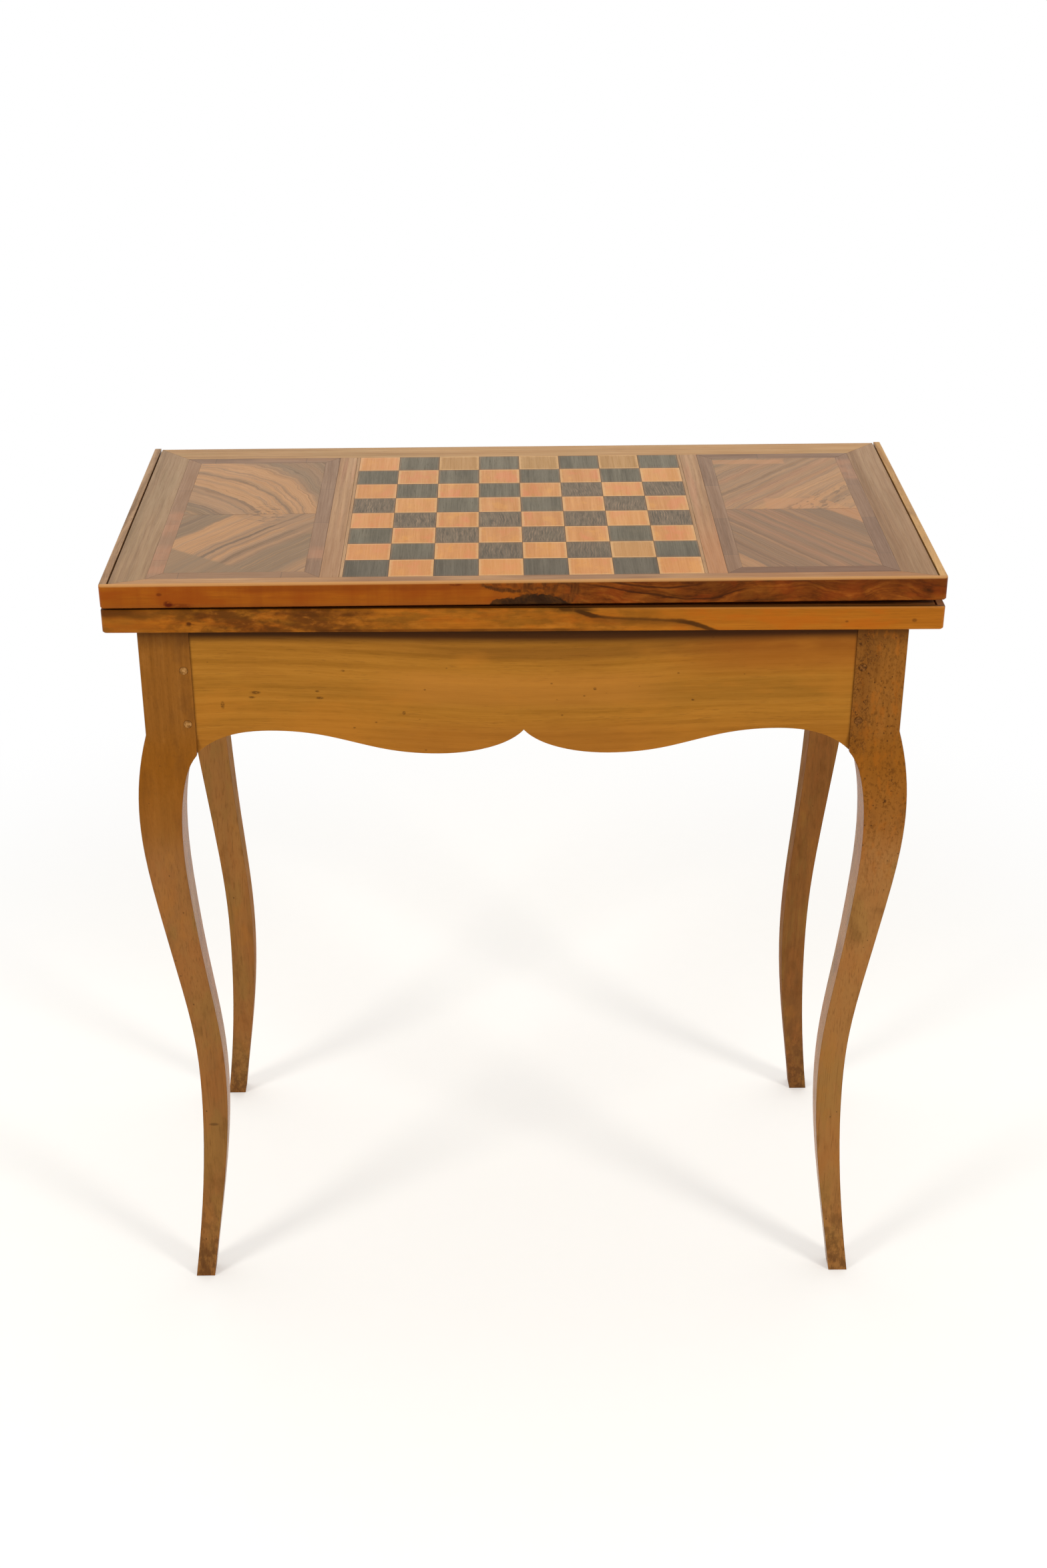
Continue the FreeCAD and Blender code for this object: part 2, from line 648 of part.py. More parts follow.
def side_frame():
    """Dark frame round the right hand panel."""
    gap = VENEER_JOINT / 2
    outer = (FRAME_START + gap, FRAME_END - gap, BOARD_FRONT + gap, BOARD_BACK - gap)
    inner = (
        FRAME_START + FRAME_BAND, FRAME_END - FRAME_BAND,
        BOARD_FRONT + FRAME_BAND, BOARD_BACK - FRAME_BAND,
    )
    return Part.makeCompound(mitred_ring(outer, inner))


def panel_halves():
    """Book-matched halves of the right hand panel: front and back."""
    x0 = FRAME_START + FRAME_BAND
    x1 = FRAME_END - FRAME_BAND
    y0 = BOARD_FRONT + FRAME_BAND
    y1 = BOARD_BACK - FRAME_BAND
    middle = (y0 + y1) / 2
    return veneer_block(x0, x1, y0, middle), veneer_block(x0, x1, middle, y1)


def cell(row, column):
    """One square of the board."""
    x0 = column * SQUARE - BOARD_HALF_X
    y1 = BOARD_BACK - row * SQUARE
    return veneer_block(x0, x0 + SQUARE, y1 - SQUARE, y1)


def board_cells():
    """The squares sorted by wood: the back left square is light."""
    woods = {"light": [], "worn_light": [], "dark": [], "brown_dark": []}
    for row in range(BOARD_CELLS):
        for column in range(BOARD_CELLS):
            if (row + column) % 2 == 0:
                wood = "worn_light" if (row, column) in WORN_LIGHT_CELLS else "light"
            else:
                wood = "brown_dark" if (row, column) in BROWN_DARK_CELLS else "dark"
            woods[wood].append(cell(row, column))
    return woods


# ---------------------------------------------------------------- export
def upper_mirrored(shape):
    """Left hand twin of a veneer piece that already lies on the tilted leaf."""
    flat = shape.copy()
    flat.translate(Z_AXIS * -(LOWER_TOP + GAP_MIDDLE))
    flat.rotate(ORIGIN, Y_AXIS, UPPER_TILT)
    return on_upper_leaf(mirrored_x(flat))


def export_base():
    """Legs, pegs, aprons, bearer and well."""
    leg = leg_front_right()
    pegs = Part.makeCompound(leg_pegs(PEG_RADIUS, PEG_PROUD))
    for name, shape in (("leg", leg), ("pegs", pegs)):
        export(name + "_front_right", shape)
        export(name + "_front_left", mirrored_x(shape))
        export(name + "_rear_right", mirrored_y(shape))
        export(name + "_rear_left", mirrored_x(mirrored_y(shape)))
    export("apron_front", front_apron())
    export("apron_rear", mirrored_y(front_apron()))
    export("apron_right", right_apron())
    export("apron_left", mirrored_x(right_apron()))
    export("pivot_bearer", pivot_bearer())
    export("well_board", well_board())
    export("well_strip_front", front_well_strip())
    export("well_strip_rear", mirrored_y(front_well_strip()))
    export("well_strip_right", right_well_strip())
    export("well_strip_left", mirrored_x(right_well_strip()))


def export_pivot():
    """Iron parts of the swivel."""
    export("pivot_bolt", pivot_bolt())
    export("pivot_washer", pivot_washer())
    export("pivot_nut", pivot_nut())


def export_leaves():
    """Cores, lippings, end strips and baize."""
    export("lower_core", lower_core())
    export("lower_lipping", on_lower_leaf(front_lipping()))
    export("lower_strip_right", on_lower_leaf(end_strip(0.0)))
    export("lower_strip_left", on_lower_leaf(mirrored_x(end_strip(0.0))))
    export("lower_baize", on_lower_leaf(baize(LEAF_THICKNESS - BAIZE_THICKNESS)))
    export("upper_core", upper_core())
    export("upper_lipping", on_upper_leaf(front_lipping()))
    export("upper_strip_right", on_upper_leaf(end_strip(UPPER_STRIP_PROUD)))
    export("upper_strip_left", on_upper_leaf(mirrored_x(end_strip(UPPER_STRIP_PROUD))))
    export("upper_baize", on_upper_leaf(baize(0.0)))


def export_hinges():
    """Both hinges, each with two plates and a pin."""
    for name, side in (("left", -1), ("right", 1)):
        export("hinge_" + name + "_lower", at_hinge(hinge_half(0, 1, -1), side))
        export("hinge_" + name + "_upper", at_hinge(hinge_half(1, 0, 1), side))
        export("hinge_" + name + "_pin", at_hinge(hinge_pin(), side))


def export_veneers():
    """Marquetry of the upper leaf."""
    for name, band in zip(("front", "right", "back", "left"), outer_bands()):
        export("band_" + name, band)
    panel_front, panel_back = panel_halves()
    flank = veneer_block(FLANK_START, FRAME_START, BOARD_FRONT, BOARD_BACK)
    string = veneer_block(BOARD_HALF_X, FLANK_START, BOARD_FRONT, BOARD_BACK)
    pieces = (
        ("frame", side_frame()), ("panel_front", panel_front), ("panel_back", panel_back),
        ("flank", flank), ("stringing", string),
    )
    for name, shape in pieces:
        export(name + "_right", shape)
        export(name + "_left", upper_mirrored(shape))
    for wood, squares in board_cells().items():
        export("squares_" + wood, Part.makeCompound(squares))


os.makedirs("parts", exist_ok=True)
export_base()
export_pivot()
export_leaves()
export_hinges()
export_veneers()
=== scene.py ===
import json
import math

import bmesh
import bpy
from mathutils import Euler, Matrix, Vector


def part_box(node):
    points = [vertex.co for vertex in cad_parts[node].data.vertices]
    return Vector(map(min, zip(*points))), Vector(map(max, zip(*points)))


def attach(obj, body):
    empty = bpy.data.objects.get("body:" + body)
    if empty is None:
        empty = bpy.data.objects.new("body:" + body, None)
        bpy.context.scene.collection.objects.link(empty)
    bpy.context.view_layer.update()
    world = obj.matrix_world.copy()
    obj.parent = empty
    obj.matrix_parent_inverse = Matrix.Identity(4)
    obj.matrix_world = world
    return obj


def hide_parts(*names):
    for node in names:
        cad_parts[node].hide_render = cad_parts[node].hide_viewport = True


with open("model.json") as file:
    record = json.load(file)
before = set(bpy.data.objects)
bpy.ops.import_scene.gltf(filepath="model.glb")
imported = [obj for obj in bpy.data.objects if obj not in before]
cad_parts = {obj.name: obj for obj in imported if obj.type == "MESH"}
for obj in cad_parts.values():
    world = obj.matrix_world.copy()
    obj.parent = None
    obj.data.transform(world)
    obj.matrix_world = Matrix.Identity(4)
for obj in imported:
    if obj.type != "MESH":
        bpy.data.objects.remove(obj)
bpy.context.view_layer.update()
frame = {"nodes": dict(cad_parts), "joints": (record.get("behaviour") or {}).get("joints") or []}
nodes = frame["nodes"]


# ---- Legs ----
# Four cabriole legs, each sawn with its square stile out of one piece of walnut on two
# faces. The upright grain shows as fine lines, with old worm holes round the joints, painted
# shade along the arrises and under the leaf, and a darker foot where mops and shoes reach.
USUAL_STOPS = (0.0, 0.3, 0.55, 0.8, 1.0)


def tone(red, green, blue):
    """A colour given as seen on a screen, 0 to 255, in the shader's linear values."""
    seen = [part / 255 for part in (red, green, blue)]
    return (*[s / 12.92 if s < 0.04045 else ((s + 0.055) / 1.055) ** 2.4 for s in seen], 1.0)


class Value:
    """A number or colour that differs from place to place, and counts as a plain number does."""

    def __init__(self, net, socket):
        self.net, self.socket = net, socket

    def __add__(self, other):
        return self.net.calc("ADD", self, other)

    def __mul__(self, other):
        return self.net.calc("MULTIPLY", self, other)

    def __sub__(self, other):
        return self.net.calc("SUBTRACT", self, other)

    def __rsub__(self, other):
        return self.net.calc("SUBTRACT", other, self)

    def __truediv__(self, other):
        return self.net.calc("DIVIDE", self, other)

    def __abs__(self):
        return self.net.calc("ABSOLUTE", self)

    __radd__, __rmul__ = __add__, __mul__


class Net:
    """A net of shader nodes, whose results are Values."""

    def __init__(self, tree):
        self.tree = tree

    def feed(self, socket, value):
        if isinstance(value, Value):
            self.tree.links.new(value.socket, socket)
        elif value is not None:
            socket.default_value = value

    def node(self, kind, *values, **settings):
        made = self.tree.nodes.new(kind)
        for key, value in settings.items():
            setattr(made, key, value)
        for socket, value in zip(made.inputs, values):
            self.feed(socket, value)
        return made

    def result(self, made, key=0):
        return Value(self, made.outputs[key])

    def parts(self, kind, value):
        """The three parts of a place or colour."""
        made = self.node(kind, value)
        return [self.result(made, key) for key in range(3)]

    def calc(self, operation, *values):
        return self.result(self.node("ShaderNodeMath", *values, operation=operation))

    def sine(self, value):
        return self.calc("SINE", value)

    def most(self, first, *others):
        for other in others:
            first = self.calc("MAXIMUM", first, other)
        return first

    def least(self, first, second):
        return self.calc("MINIMUM", first, second)

    def length(self, aside, above):
        """How far off a place is that lies so far aside and so far above."""
        return self.calc("SQRT", aside * aside + above * above)

    def span(self, value, low, high, start=0.0, end=1.0):
        """Runs smoothly from start to end while value goes from low to high."""
        made = self.node("ShaderNodeMapRange", value, low, high, start, end, interpolation_type="SMOOTHSTEP")
        return self.result(made)

    def near(self, value, centre, reach, soft):
        """1 within reach of centre, falling to 0 over the soft distance beyond."""
        return self.span(abs(value - centre), reach, reach + soft, 1.0, 0.0)


class Finish(Net):
    """The look of one kind of surface, worked out from places on the piece, in metres."""

    def __init__(self, name):
        self.material = bpy.data.materials.new(name)
        self.material.use_nodes = True
        super().__init__(self.material.node_tree)
        self.shader = self.tree.nodes["Principled BSDF"]
        place = self.result(self.node("ShaderNodeTexCoord"), "Object")
        self.x, self.y, self.z = self.parts("ShaderNodeSeparateXYZ", place)

    def set(self, socket, value):
        self.feed(self.shader.inputs[socket], value)

    def ways(self, along):
        """The two level directions, first the one that the fibres follow."""
        return (self.x, self.y) if along == "x" else (self.y, self.x)

    def point(self, x, y, z):
        return self.result(self.node("ShaderNodeCombineXYZ", x, y, z))

    def cloud(self, x, y, z, detail=3.0, roughness=0.55, bend=0.0):
        """Soft random patches, one unit across, of the three values given."""
        made = self.node("ShaderNodeTexNoise", self.point(x, y, z))
        for key, value in zip(("Scale", "Detail", "Roughness", "Distortion"), (1.0, detail, roughness, bend)):
            made.inputs[key].default_value = value
        return self.result(made)

    def patches(self, x, y, z, *character):
        """Soft random patches right through a piece, so many to the metre each way."""
        return self.cloud(self.x * x, self.y * y, self.z * z, *character)

    def haze(self, x, y, seed, *character):
        """Soft random patches on a level face, so many to the metre; each seed gives others."""
        return self.cloud(self.x * x, self.y * y, seed, *character)

    def draws(self, *place):
        """Three random numbers that stay the same over each whole-numbered place."""
        drawn = self.node("ShaderNodeTexWhiteNoise", self.point(*place))
        return self.parts("ShaderNodeSeparateColor", self.result(drawn, "Color"))

    def ramp(self, value, stops):
        """A colour for each value, through stops of (value, red, green, blue as on a screen).

        Stops that are colours alone stand at the usual values."""
        if len(stops[0]) == 3:
            stops = [(place, *seen) for place, seen in zip(USUAL_STOPS, stops)]
        made = self.node("ShaderNodeValToRGB", value)
        points = made.color_ramp.elements
        while len(points) < len(stops):
            points.new(0.5)
        for point, (place, *seen) in zip(points, stops):
            point.position = place
            point.color = tone(*seen)
        return self.result(made)

    def blend(self, share, first, second):
        """The first colour with a share of the second; three plain numbers are a colour on a screen."""
        made = self.node("ShaderNodeMix", data_type="RGBA")
        self.feed(made.inputs[0], share)
        for key, colour in ((6, first), (7, second)):
            self.feed(made.inputs[key], colour if isinstance(colour, Value) else tone(*colour))
        return self.result(made, 2)

    def stain(self, share, colour):
        self.colour = self.blend(share, self.colour, colour)

    def tint(self, value, low, high, share, colour):
        """Stains with the given share where value has gone from low past high."""
        self.stain(self.span(value, low, high, 0.0, share), colour)

    def holes(self, size, share, across=1.0):
        """Small round specks, size apart, of which about the given share is there."""
        place = self.point(self.x * (1 / size), self.y * (1 / size), self.z * (across / size))
        cell = self.node("ShaderNodeTexVoronoi", place)
        cell.inputs["Scale"].default_value = 1.0
        chance = self.parts("ShaderNodeSeparateColor", self.result(cell, "Color"))[0]
        there = self.calc("LESS_THAN", chance, share)
        return there * self.span(self.result(cell, "Distance"), 0.16, 0.28, 1.0, 0.0)

    def spot(self, across, up, centre, half):
        """1 at a soft oval mark, given the two directions, its centre and its half sizes."""
        off = self.length((across - centre[0]) / half[0], (up - centre[1]) / half[1])
        return self.span(off, 0.6, 1.5, 1.0, 0.0)

    def wood(self, along, across, depth, tones, seed=0.0, sway=0.003, ring=0.006,
             rings=0.2, streaks=0.5, fibres=0.14, pores=0.35):
        """Colour and relief of wood whose fibres run along the first direction."""
        drift = self.cloud(along * 3.2 + seed, across * 8, depth * 8, 2)
        waver = self.cloud(along * 14, across * 30 + seed, depth * 30, 2)
        bent = across + (drift - 0.5) * (sway * 5) + (waver - 0.5) * sway
        wave = self.sine((bent * (1 / ring) + depth * (0.35 / ring)) * math.tau)
        streak = self.cloud(along * 2.4 + seed, bent * 95, depth * 60, 5, 0.62)
        fibre = self.cloud(along * 26, bent * 850, depth * 700 + seed, 2, 0.6)
        value = 0.5 + wave * (self.span(drift, 0.35, 0.65, 0.3, 1.0) * (rings * 0.5))
        value = value + (streak - 0.5) * (streaks * 3.2) + (fibre - 0.5) * (fibres * 3)
        self.colour = self.ramp(value, tones)
        pore = self.cloud(along * 85, bent * 1500, depth * 1500, 1)
        pit = self.span(pore, 0.60, 0.72) * pores
        self.stain(pit, (52, 30, 14))
        self.relief = fibre * 0.5 + streak * 0.5 - pit

    def polish(self, rough=0.4, spread=0.14, bump=0.00012, gloss=0.06):
        """Rubbed wax or spirit polish, a little duller in the open grain."""
        self.shader.inputs["Specular IOR Level"].default_value = gloss
        self.set("Base Color", self.colour)
        self.set("Roughness", self.span(self.relief, 0.25, 0.75, rough + spread, rough - spread / 2))
        raised = self.node("ShaderNodeBump")
        for name, value in (("Strength", 0.6), ("Distance", bump), ("Height", self.relief)):
            self.feed(raised.inputs[name], value)
        self.set("Normal", self.result(raised))
        return self.material


def dress(material, *names):
    for name in names:
        for each in nodes[name].material_slots:
            each.material = material


def soften(name, width, steps=2, angle=38):
    """Rounds a piece's sharp arrises by the given width."""
    modifiers = nodes[name].modifiers
    modifiers.new("joined_faces", "WELD").merge_threshold = 0.00001
    ease = modifiers.new("eased_arris", "BEVEL")
    ease.width = width
    ease.segments = steps
    ease.angle_limit = math.radians(angle)
    modifiers.new("even_shading", "WEIGHTED_NORMAL")


LEG_ARRIS = 0.0012
WORM_SEAM = 0.2935
NICK = (-0.3027, 0.1765)
LEG_TONES = [(0.0, 80, 46, 12), (0.35, 122, 74, 22), (0.55, 141, 88, 31), (0.8, 158, 103, 42),
             (1.0, 176, 122, 60)]


def leg_walnut():
    f = Finish("leg_walnut")
    f.wood(f.z, f.x, f.y, LEG_TONES, seed=3.1, sway=0.002, rings=0.1, streaks=0.34, fibres=0.12)
    front = f.span(f.y, 0.0, 0.05, 1.0, 0.0)
    right = f.span(f.x, -0.05, 0.05)
    rear = 1.0 - front
    rear_right = rear * right
    f.stain(rear_right * 0.3, (104, 58, 30))
    front_right = front * right
    f.stain(front_right * 0.28, (166, 108, 46))
    high = f.span(f.z, 0.44, 0.58)
    f.stain(high * 0.4, (132, 80, 20))
    calf = f.span(f.z, 0.585, 0.485)
    f.stain(calf * (0.6 - rear_right * 0.25), (150, 103, 57))
    # Paler lower legs: the front right leg's own lighter tone, and painted light on the rear left leg, which
    # the left lamp lights more.
    pale_tone_and_painted_light = front_right * 0.17 + rear * (1.0 - right) * f.span(f.z, 0.22, 0.36) * 0.2
    f.stain(calf * pale_tone_and_painted_light, (190, 138, 76))
    f.stain(rear_right * f.span(f.z, 0.34, 0.16) * 0.2, (84, 54, 30))
    hue = f.patches(38, 38, 12, 4, 0.62)
    f.stain(calf * f.span(hue, 0.51, 0.62, 0.0, 0.28), (154, 92, 42))
    f.stain(calf * f.span(hue, 0.49, 0.38, 0.0, 0.28), (136, 106, 50))
    line = f.patches(800, 800, 16, 3, 0.6)
    f.stain(calf * f.span(line, 0.52, 0.68, 0.0, 0.4), (104, 64, 26))
    knee = f.near(f.z, 0.555, 0.025, 0.05) * 0.5
    f.stain(knee, (138, 80, 12))
    mottle = f.patches(45, 45, 22, 4, 0.6)
    f.tint(mottle, 0.52, 0.72, 0.4, (98, 58, 20))
    f.tint(mottle, 0.46, 0.32, 0.3, (164, 106, 44))
    foot = f.span(f.z, 0.0, 0.13, 0.6, 0.0)
    scuff = f.patches(160, 160, 90, 4, 0.7)
    f.stain(foot * f.span(scuff, 0.4, 0.6), (78, 46, 22))
    # Darker just below the leaf: painted shade.
    shade_under_leaf = f.span(f.z, 0.690, 0.7075, 0.0, 0.5)
    f.stain(shade_under_leaf, (70, 40, 12))
    seam = f.near(f.x, WORM_SEAM, 0.0065, 0.006) * f.span(f.z, 0.586, 0.600)
    eaten = front_right * f.most(f.span(f.z, 0.40, 0.56), seam)
    pepper = f.patches(380, 380, 270, 3, 0.6)
    peppered = f.span(pepper, 0.50, 0.66) * (eaten * 0.5 + high * 0.14)
    f.stain(peppered, (102, 58, 10))
    rust = f.patches(140, 140, 55, 3, 0.6)
    f.stain(f.span(rust, 0.52, 0.66) * eaten * 0.4, (164, 92, 20))
    share = eaten * 0.12 + 0.012
    pitted = f.most(f.holes(0.0030, share, 0.75), f.holes(0.0052, share * 0.35, 0.7))
    gallery = f.patches(300, 300, 240, 2, 0.6, 0.8)
    broken = f.patches(110, 110, 90, 3)
    tracks = f.near(gallery, 0.5, 0.014, 0.018) * f.span(broken, 0.42, 0.50) * seam * front_right
    few = f.near(gallery, 0.5, 0.008, 0.012) * f.span(broken, 0.56, 0.62) * eaten * 0.8
    pitted = f.most(pitted, tracks, few)
    f.stain(seam * front_right * 0.3, (96, 54, 14))
    f.stain(pitted * 0.66, (56, 30, 8))
    nick = front * f.spot(f.x, f.z, NICK, (0.0042, 0.0014))
    f.stain(nick * 0.55, (70, 42, 16))
    facing = f.result(f.node("ShaderNodeTexCoord"), "Normal")
    aside, ahead = [abs(way) for way in f.parts("ShaderNodeSeparateXYZ", facing)[:2]]
    # Darker where the faces turn round the rounded arrises: painted shade.
    arris_shade = f.span(f.least(aside, ahead), 0.15, 0.5, 0.0, 0.5)
    f.stain(arris_shade, (84, 50, 20))
    rubbed = f.span(aside, 0.7, 0.95, 1.0, 1.5 - front * 0.9)
    dull = f.span(f.relief, 0.25, 0.75, 0.56, 0.35)
    f.relief = f.relief - f.most(pitted, nick) * 1.5
    f.polish()
    f.set("Roughness", rubbed * dull)
    return f.material


LEG_PLACES = ("front_left", "front_right", "rear_left", "rear_right")
LEGS = ["leg_" + place for place in LEG_PLACES]
dress(leg_walnut(), *LEGS)
for leg in LEGS:
    soften(leg, LEG_ARRIS)


# ---- Aprons ----
# Four scalloped rails, tenoned into the stiles. Golden walnut with its grain lengthwise,
# a few dark growth flecks, a greenish sapwood streak across the long rail, dirt and painted
# shade under the leaf, and dirt beside the joints.
APRON_ARRIS = 0.0007
RAIL_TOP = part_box("apron_front")[1].z
APRON_JOINT = {"x": 0.288, "y": 0.124}
APRON_TONES = [(0.0, 98, 60, 10), (0.3, 142, 91, 22), (0.52, 163, 107, 33), (0.75, 177, 119, 41),
               (1.0, 192, 134, 56)]
FLECKS = [(-0.234, 0.6525, 0.0040, 0.0014), (-0.237, 0.6480, 0.0028, 0.0009),
          (-0.263, 0.6405, 0.0015, 0.0032), (-0.178, 0.6470, 0.0028, 0.0011),
          (-0.180, 0.6535, 0.0016, 0.0008), (-0.105, 0.6320, 0.0013, 0.0015),
          (-0.157, 0.6730, 0.0016, 0.0008), (0.148, 0.6435, 0.0012, 0.0009), (0.062, 0.6545, 0.0013, 0.0012)]


def apron_walnut(name, along, across):
    f = Finish(name)
    run, through = f.ways(along)
    bow = f.near(run, 0.035, 0.0, 0.30) * 0.0085
    ripple = f.sine((run + 0.12) * 16.0) * 0.0015
    level = f.z + bow + ripple
    f.wood(run, level, through, APRON_TONES, seed=across, sway=0.0022, ring=0.0075, rings=0.08,
           streaks=0.26, fibres=0.12, pores=0.22)
    green = f.near(level, 0.655, 0.005, 0.012) * f.span(run, -0.32, 0.02, 0.15, 0.7)
    f.stain(green * 0.5, (138, 92, 28))
    upper = f.near(level, 0.698, 0.0025, 0.008) * f.span(run, -0.14, -0.02, 0.1, 0.55)
    f.stain(upper, (112, 68, 18))
    ruddy = f.span(run, 0.10, 0.20) * f.span(level, 0.664, 0.684) * 0.6
    f.stain(ruddy, (146, 80, 20))
    centre = f.near(run, 0.0, 0.08, 0.07)
    f.stain(centre * f.near(level, 0.662, 0.008, 0.014) * 0.5, (180, 116, 44))
    f.stain(centre * f.span(level, 0.636, 0.618) * 0.3, (140, 84, 28))
    red = f.span(f.z, 0.636, 0.604) * 0.3
    f.stain(red, (160, 94, 28))
    blush = f.cloud(run * 9, level * 26, across, 4, 0.6)
    f.tint(blush, 0.5, 0.70, 0.45, (178, 112, 34))
    f.tint(blush, 0.46, 0.30, 0.4, (146, 92, 28))
    marks = 0.0
    if along == "x":
        for x, z, half, high in FLECKS:
            marks = marks + f.spot(f.x, f.z, (x, z), (half, high))
        marks = marks * f.calc("LESS_THAN", f.y, 0.0)
    grit = f.cloud(run * 420, f.z * 700, across, 3, 0.65)
    marks = marks * f.span(grit, 0.36, 0.54, 0.25, 1.0)
    specks = f.holes(0.0048, 0.018, 1.4) * 0.7
    marks = f.least(marks + specks, 1.0)
    f.stain(marks * 0.7, (72, 40, 8))
    # Darker band under the leaf: dirt, and painted shade from the leaf above.
    grime_and_shade = f.span(f.z + bow * 0.5, 0.698, 0.7085, 0.0, 0.96)
    sawn_top = f.span(f.z, RAIL_TOP - 0.0006, RAIL_TOP - 0.0001, 1.0, 0.3)
    f.stain(grime_and_shade * sawn_top, (62, 32, 8))
    beside = f.span(abs(run), APRON_JOINT[along] - 0.0025, APRON_JOINT[along], 0.0, 0.35)
    f.stain(beside, (84, 48, 14))
    f.relief = f.relief - marks
    return f.polish()


dress(apron_walnut("long_apron_walnut", "x", 1.7), "apron_front", "apron_rear")
dress(apron_walnut("short_apron_walnut", "y", 8.3), "apron_left", "apron_right")
for rail in ("front", "rear", "left", "right"):
    soften("apron_" + rail, APRON_ARRIS)


# ---- Pegs ----
# Sixteen pegs, hewn from split wood and driven through the joints. Their heads stand a
# little proud, with rounded rims, and are rubbed paler than the legs; the worms have eaten
# those of the front right joint, so they are dark.
PEG_ARRIS = 0.0009
PEG_PALE = [(0.3, 104, 66, 24), (0.5, 156, 108, 54), (0.7, 184, 138, 84)]
PEG_EATEN = [(0.3, 58, 32, 10), (0.5, 104, 62, 22), (0.7, 140, 90, 40)]


def peg_wood(name, stops):
    f = Finish(name)
    f.relief = f.patches(420, 420, 420, 3, 0.6)
    f.colour = f.ramp(f.relief, stops)
    return f.polish(rough=0.5)


PEG_SETS = ["pegs_" + place for place in LEG_PLACES]
dress(peg_wood("peg_end_grain", PEG_PALE), *PEG_SETS)
dress(peg_wood("eaten_peg_end_grain", PEG_EATEN), "pegs_front_right")
for pegs in PEG_SETS:
    soften(pegs, PEG_ARRIS, 3, 60)


# ---- Storage well and cross bearer ----
# Plain poplar left from the saw and plane: the well's bottom board on its glued strips,
# and the bearer dovetailed into the long aprons. Never polished, so dry and dusty, with
# fine saw marks across the grain.
BOARD_ARRIS = 0.0006
SAW_MARKS = 1500


def bare_wood(name, along, seed):
    f = Finish(name)
    run, over = f.ways(along)
    stops = [(0.0, 118, 88, 52), (0.4, 158, 122, 78), (0.7, 178, 142, 96), (1.0, 196, 164, 118)]
    f.wood(run, over, f.z, stops, seed=seed, sway=0.005, ring=0.012, rings=0.4, streaks=0.4, pores=0.15)
    dust = f.patches(9, 9, 30, 5, 0.65)
    f.tint(dust, 0.45, 0.75, 0.55, (132, 112, 86))
    f.relief = f.relief + f.sine((run + dust * 0.004) * SAW_MARKS) * 0.08
    return f.polish(rough=0.78, spread=0.1, bump=0.0003, gloss=0.2)


dress(bare_wood("bare_poplar_long", "x", 5.2), "well_board", "well_strip_front", "well_strip_rear")
dress(bare_wood("bare_poplar_cross", "y", 2.6), "pivot_bearer", "well_strip_left", "well_strip_right")
for board in ("well_board", "pivot_bearer"):
    soften(board, BOARD_ARRIS, 1)


# ---- Swivel pivot ----
# A forged iron plate with a round shank, let into the underside of the lower leaf, and a
# washer and nut under the bearer. The iron is black from the forge, with dull brown rust
# in patches.
NUT_ARRIS = 0.0007


def forged_iron():
    f = Finish("forged_iron")
    rust = f.patches(150, 150, 150, 6, 0.68)
    f.colour = f.ramp(rust, [(0.35, 44, 40, 38), (0.52, 66, 54, 46), (0.66, 110, 68, 40),
                             (0.8, 132, 84, 48)])
    f.set("Metallic", f.span(rust, 0.45, 0.62, 0.9, 0.25))
    f.relief = rust
    return f.polish(rough=0.55, spread=0.2, bump=0.0004, gloss=0.5)


def slot_dirt():
    f = Finish("slot_dirt")
    f.relief = f.patches(700, 700, 700, 3)
    f.colour = f.ramp(f.relief, [(0.3, 26, 18, 10), (0.6, 52, 36, 20)])
    return f.polish(rough=0.7)


packed_slot = slot_dirt()


def placed(name, mesh, smooth, *materials):
    """Turns a mesh that has been built into an object in the scene."""
    data = bpy.data.meshes.new(name)
    mesh.to_mesh(data)
    mesh.free()
    for face in data.polygons:
        face.use_smooth = smooth
    for material in materials:
        data.materials.append(material)
    made = bpy.data.objects.new(name, data)
    bpy.context.scene.collection.objects.link(made)
    return made


def screw_head(name, centre, radius, slot_turn, material):
    """A countersunk wood screw's head facing back, domed a little, with old wax in its slot."""
    mesh = bmesh.new()
    sides = 20
    dome = 0.00042
    loops = []
    for reach, height in ((radius, 0.0), (radius * 0.96, 0.00022), (radius * 0.6, dome)):
        loops.append([mesh.verts.new((reach * math.cos(a), reach * math.sin(a), height))
                      for a in (math.tau * k / sides for k in range(sides))])
    for low, high in zip(loops, loops[1:]):
        for k in range(sides):
            mesh.faces.new((low[k], low[(k + 1) % sides], high[(k + 1) % sides], high[k]))
    wide = radius * 0.13
    deep = -0.0003
    floor_edges = []
    for side in (1, -1):
        arc = [v for v in loops[-1] if v.co.y * side > wide * 0.5]
        arc.sort(key=lambda v: v.co.x * side, reverse=True)
        lip = [mesh.verts.new((end.co.x, side * wide, dome)) for end in (arc[0], arc[-1])]
        mesh.faces.new([lip[0], *arc, lip[1]])
        floor_edge = [mesh.verts.new((v.co.x, v.co.y, deep)) for v in lip]
        mesh.faces.new((lip[0], lip[1], floor_edge[1], floor_edge[0])).material_index = 1
        floor_edges.append(floor_edge)
    first, second = floor_edges
    mesh.faces.new((first[0], first[1], second[0], second[1])).material_index = 1
    bmesh.ops.recalc_face_normals(mesh, faces=mesh.faces)
    head = placed(name, mesh, False, material, packed_slot)
    facing_back = Vector((0.0, 1.0, 0.0)).to_track_quat("Z", "Y").to_matrix().to_4x4()
    head.data.transform(Matrix.Translation(centre) @ facing_back @ Matrix.Rotation(slot_turn, 4, "Z"))
    return head


dress(forged_iron(), "pivot_bolt", "pivot_nut", "pivot_washer")
soften("pivot_nut", NUT_ARRIS, 2, 50)


# ---- Lower leaf ----
# A solid walnut board with strips tongued across both ends and a lipping glued along the
# front. Its face is hidden when the table is closed; the board's edges show their
# lengthwise grain at the back, and the strips run from front to back.
LEAF_TONES = [(66, 36, 12), (112, 64, 24), (140, 84, 36), (160, 102, 50), (176, 122, 68)]


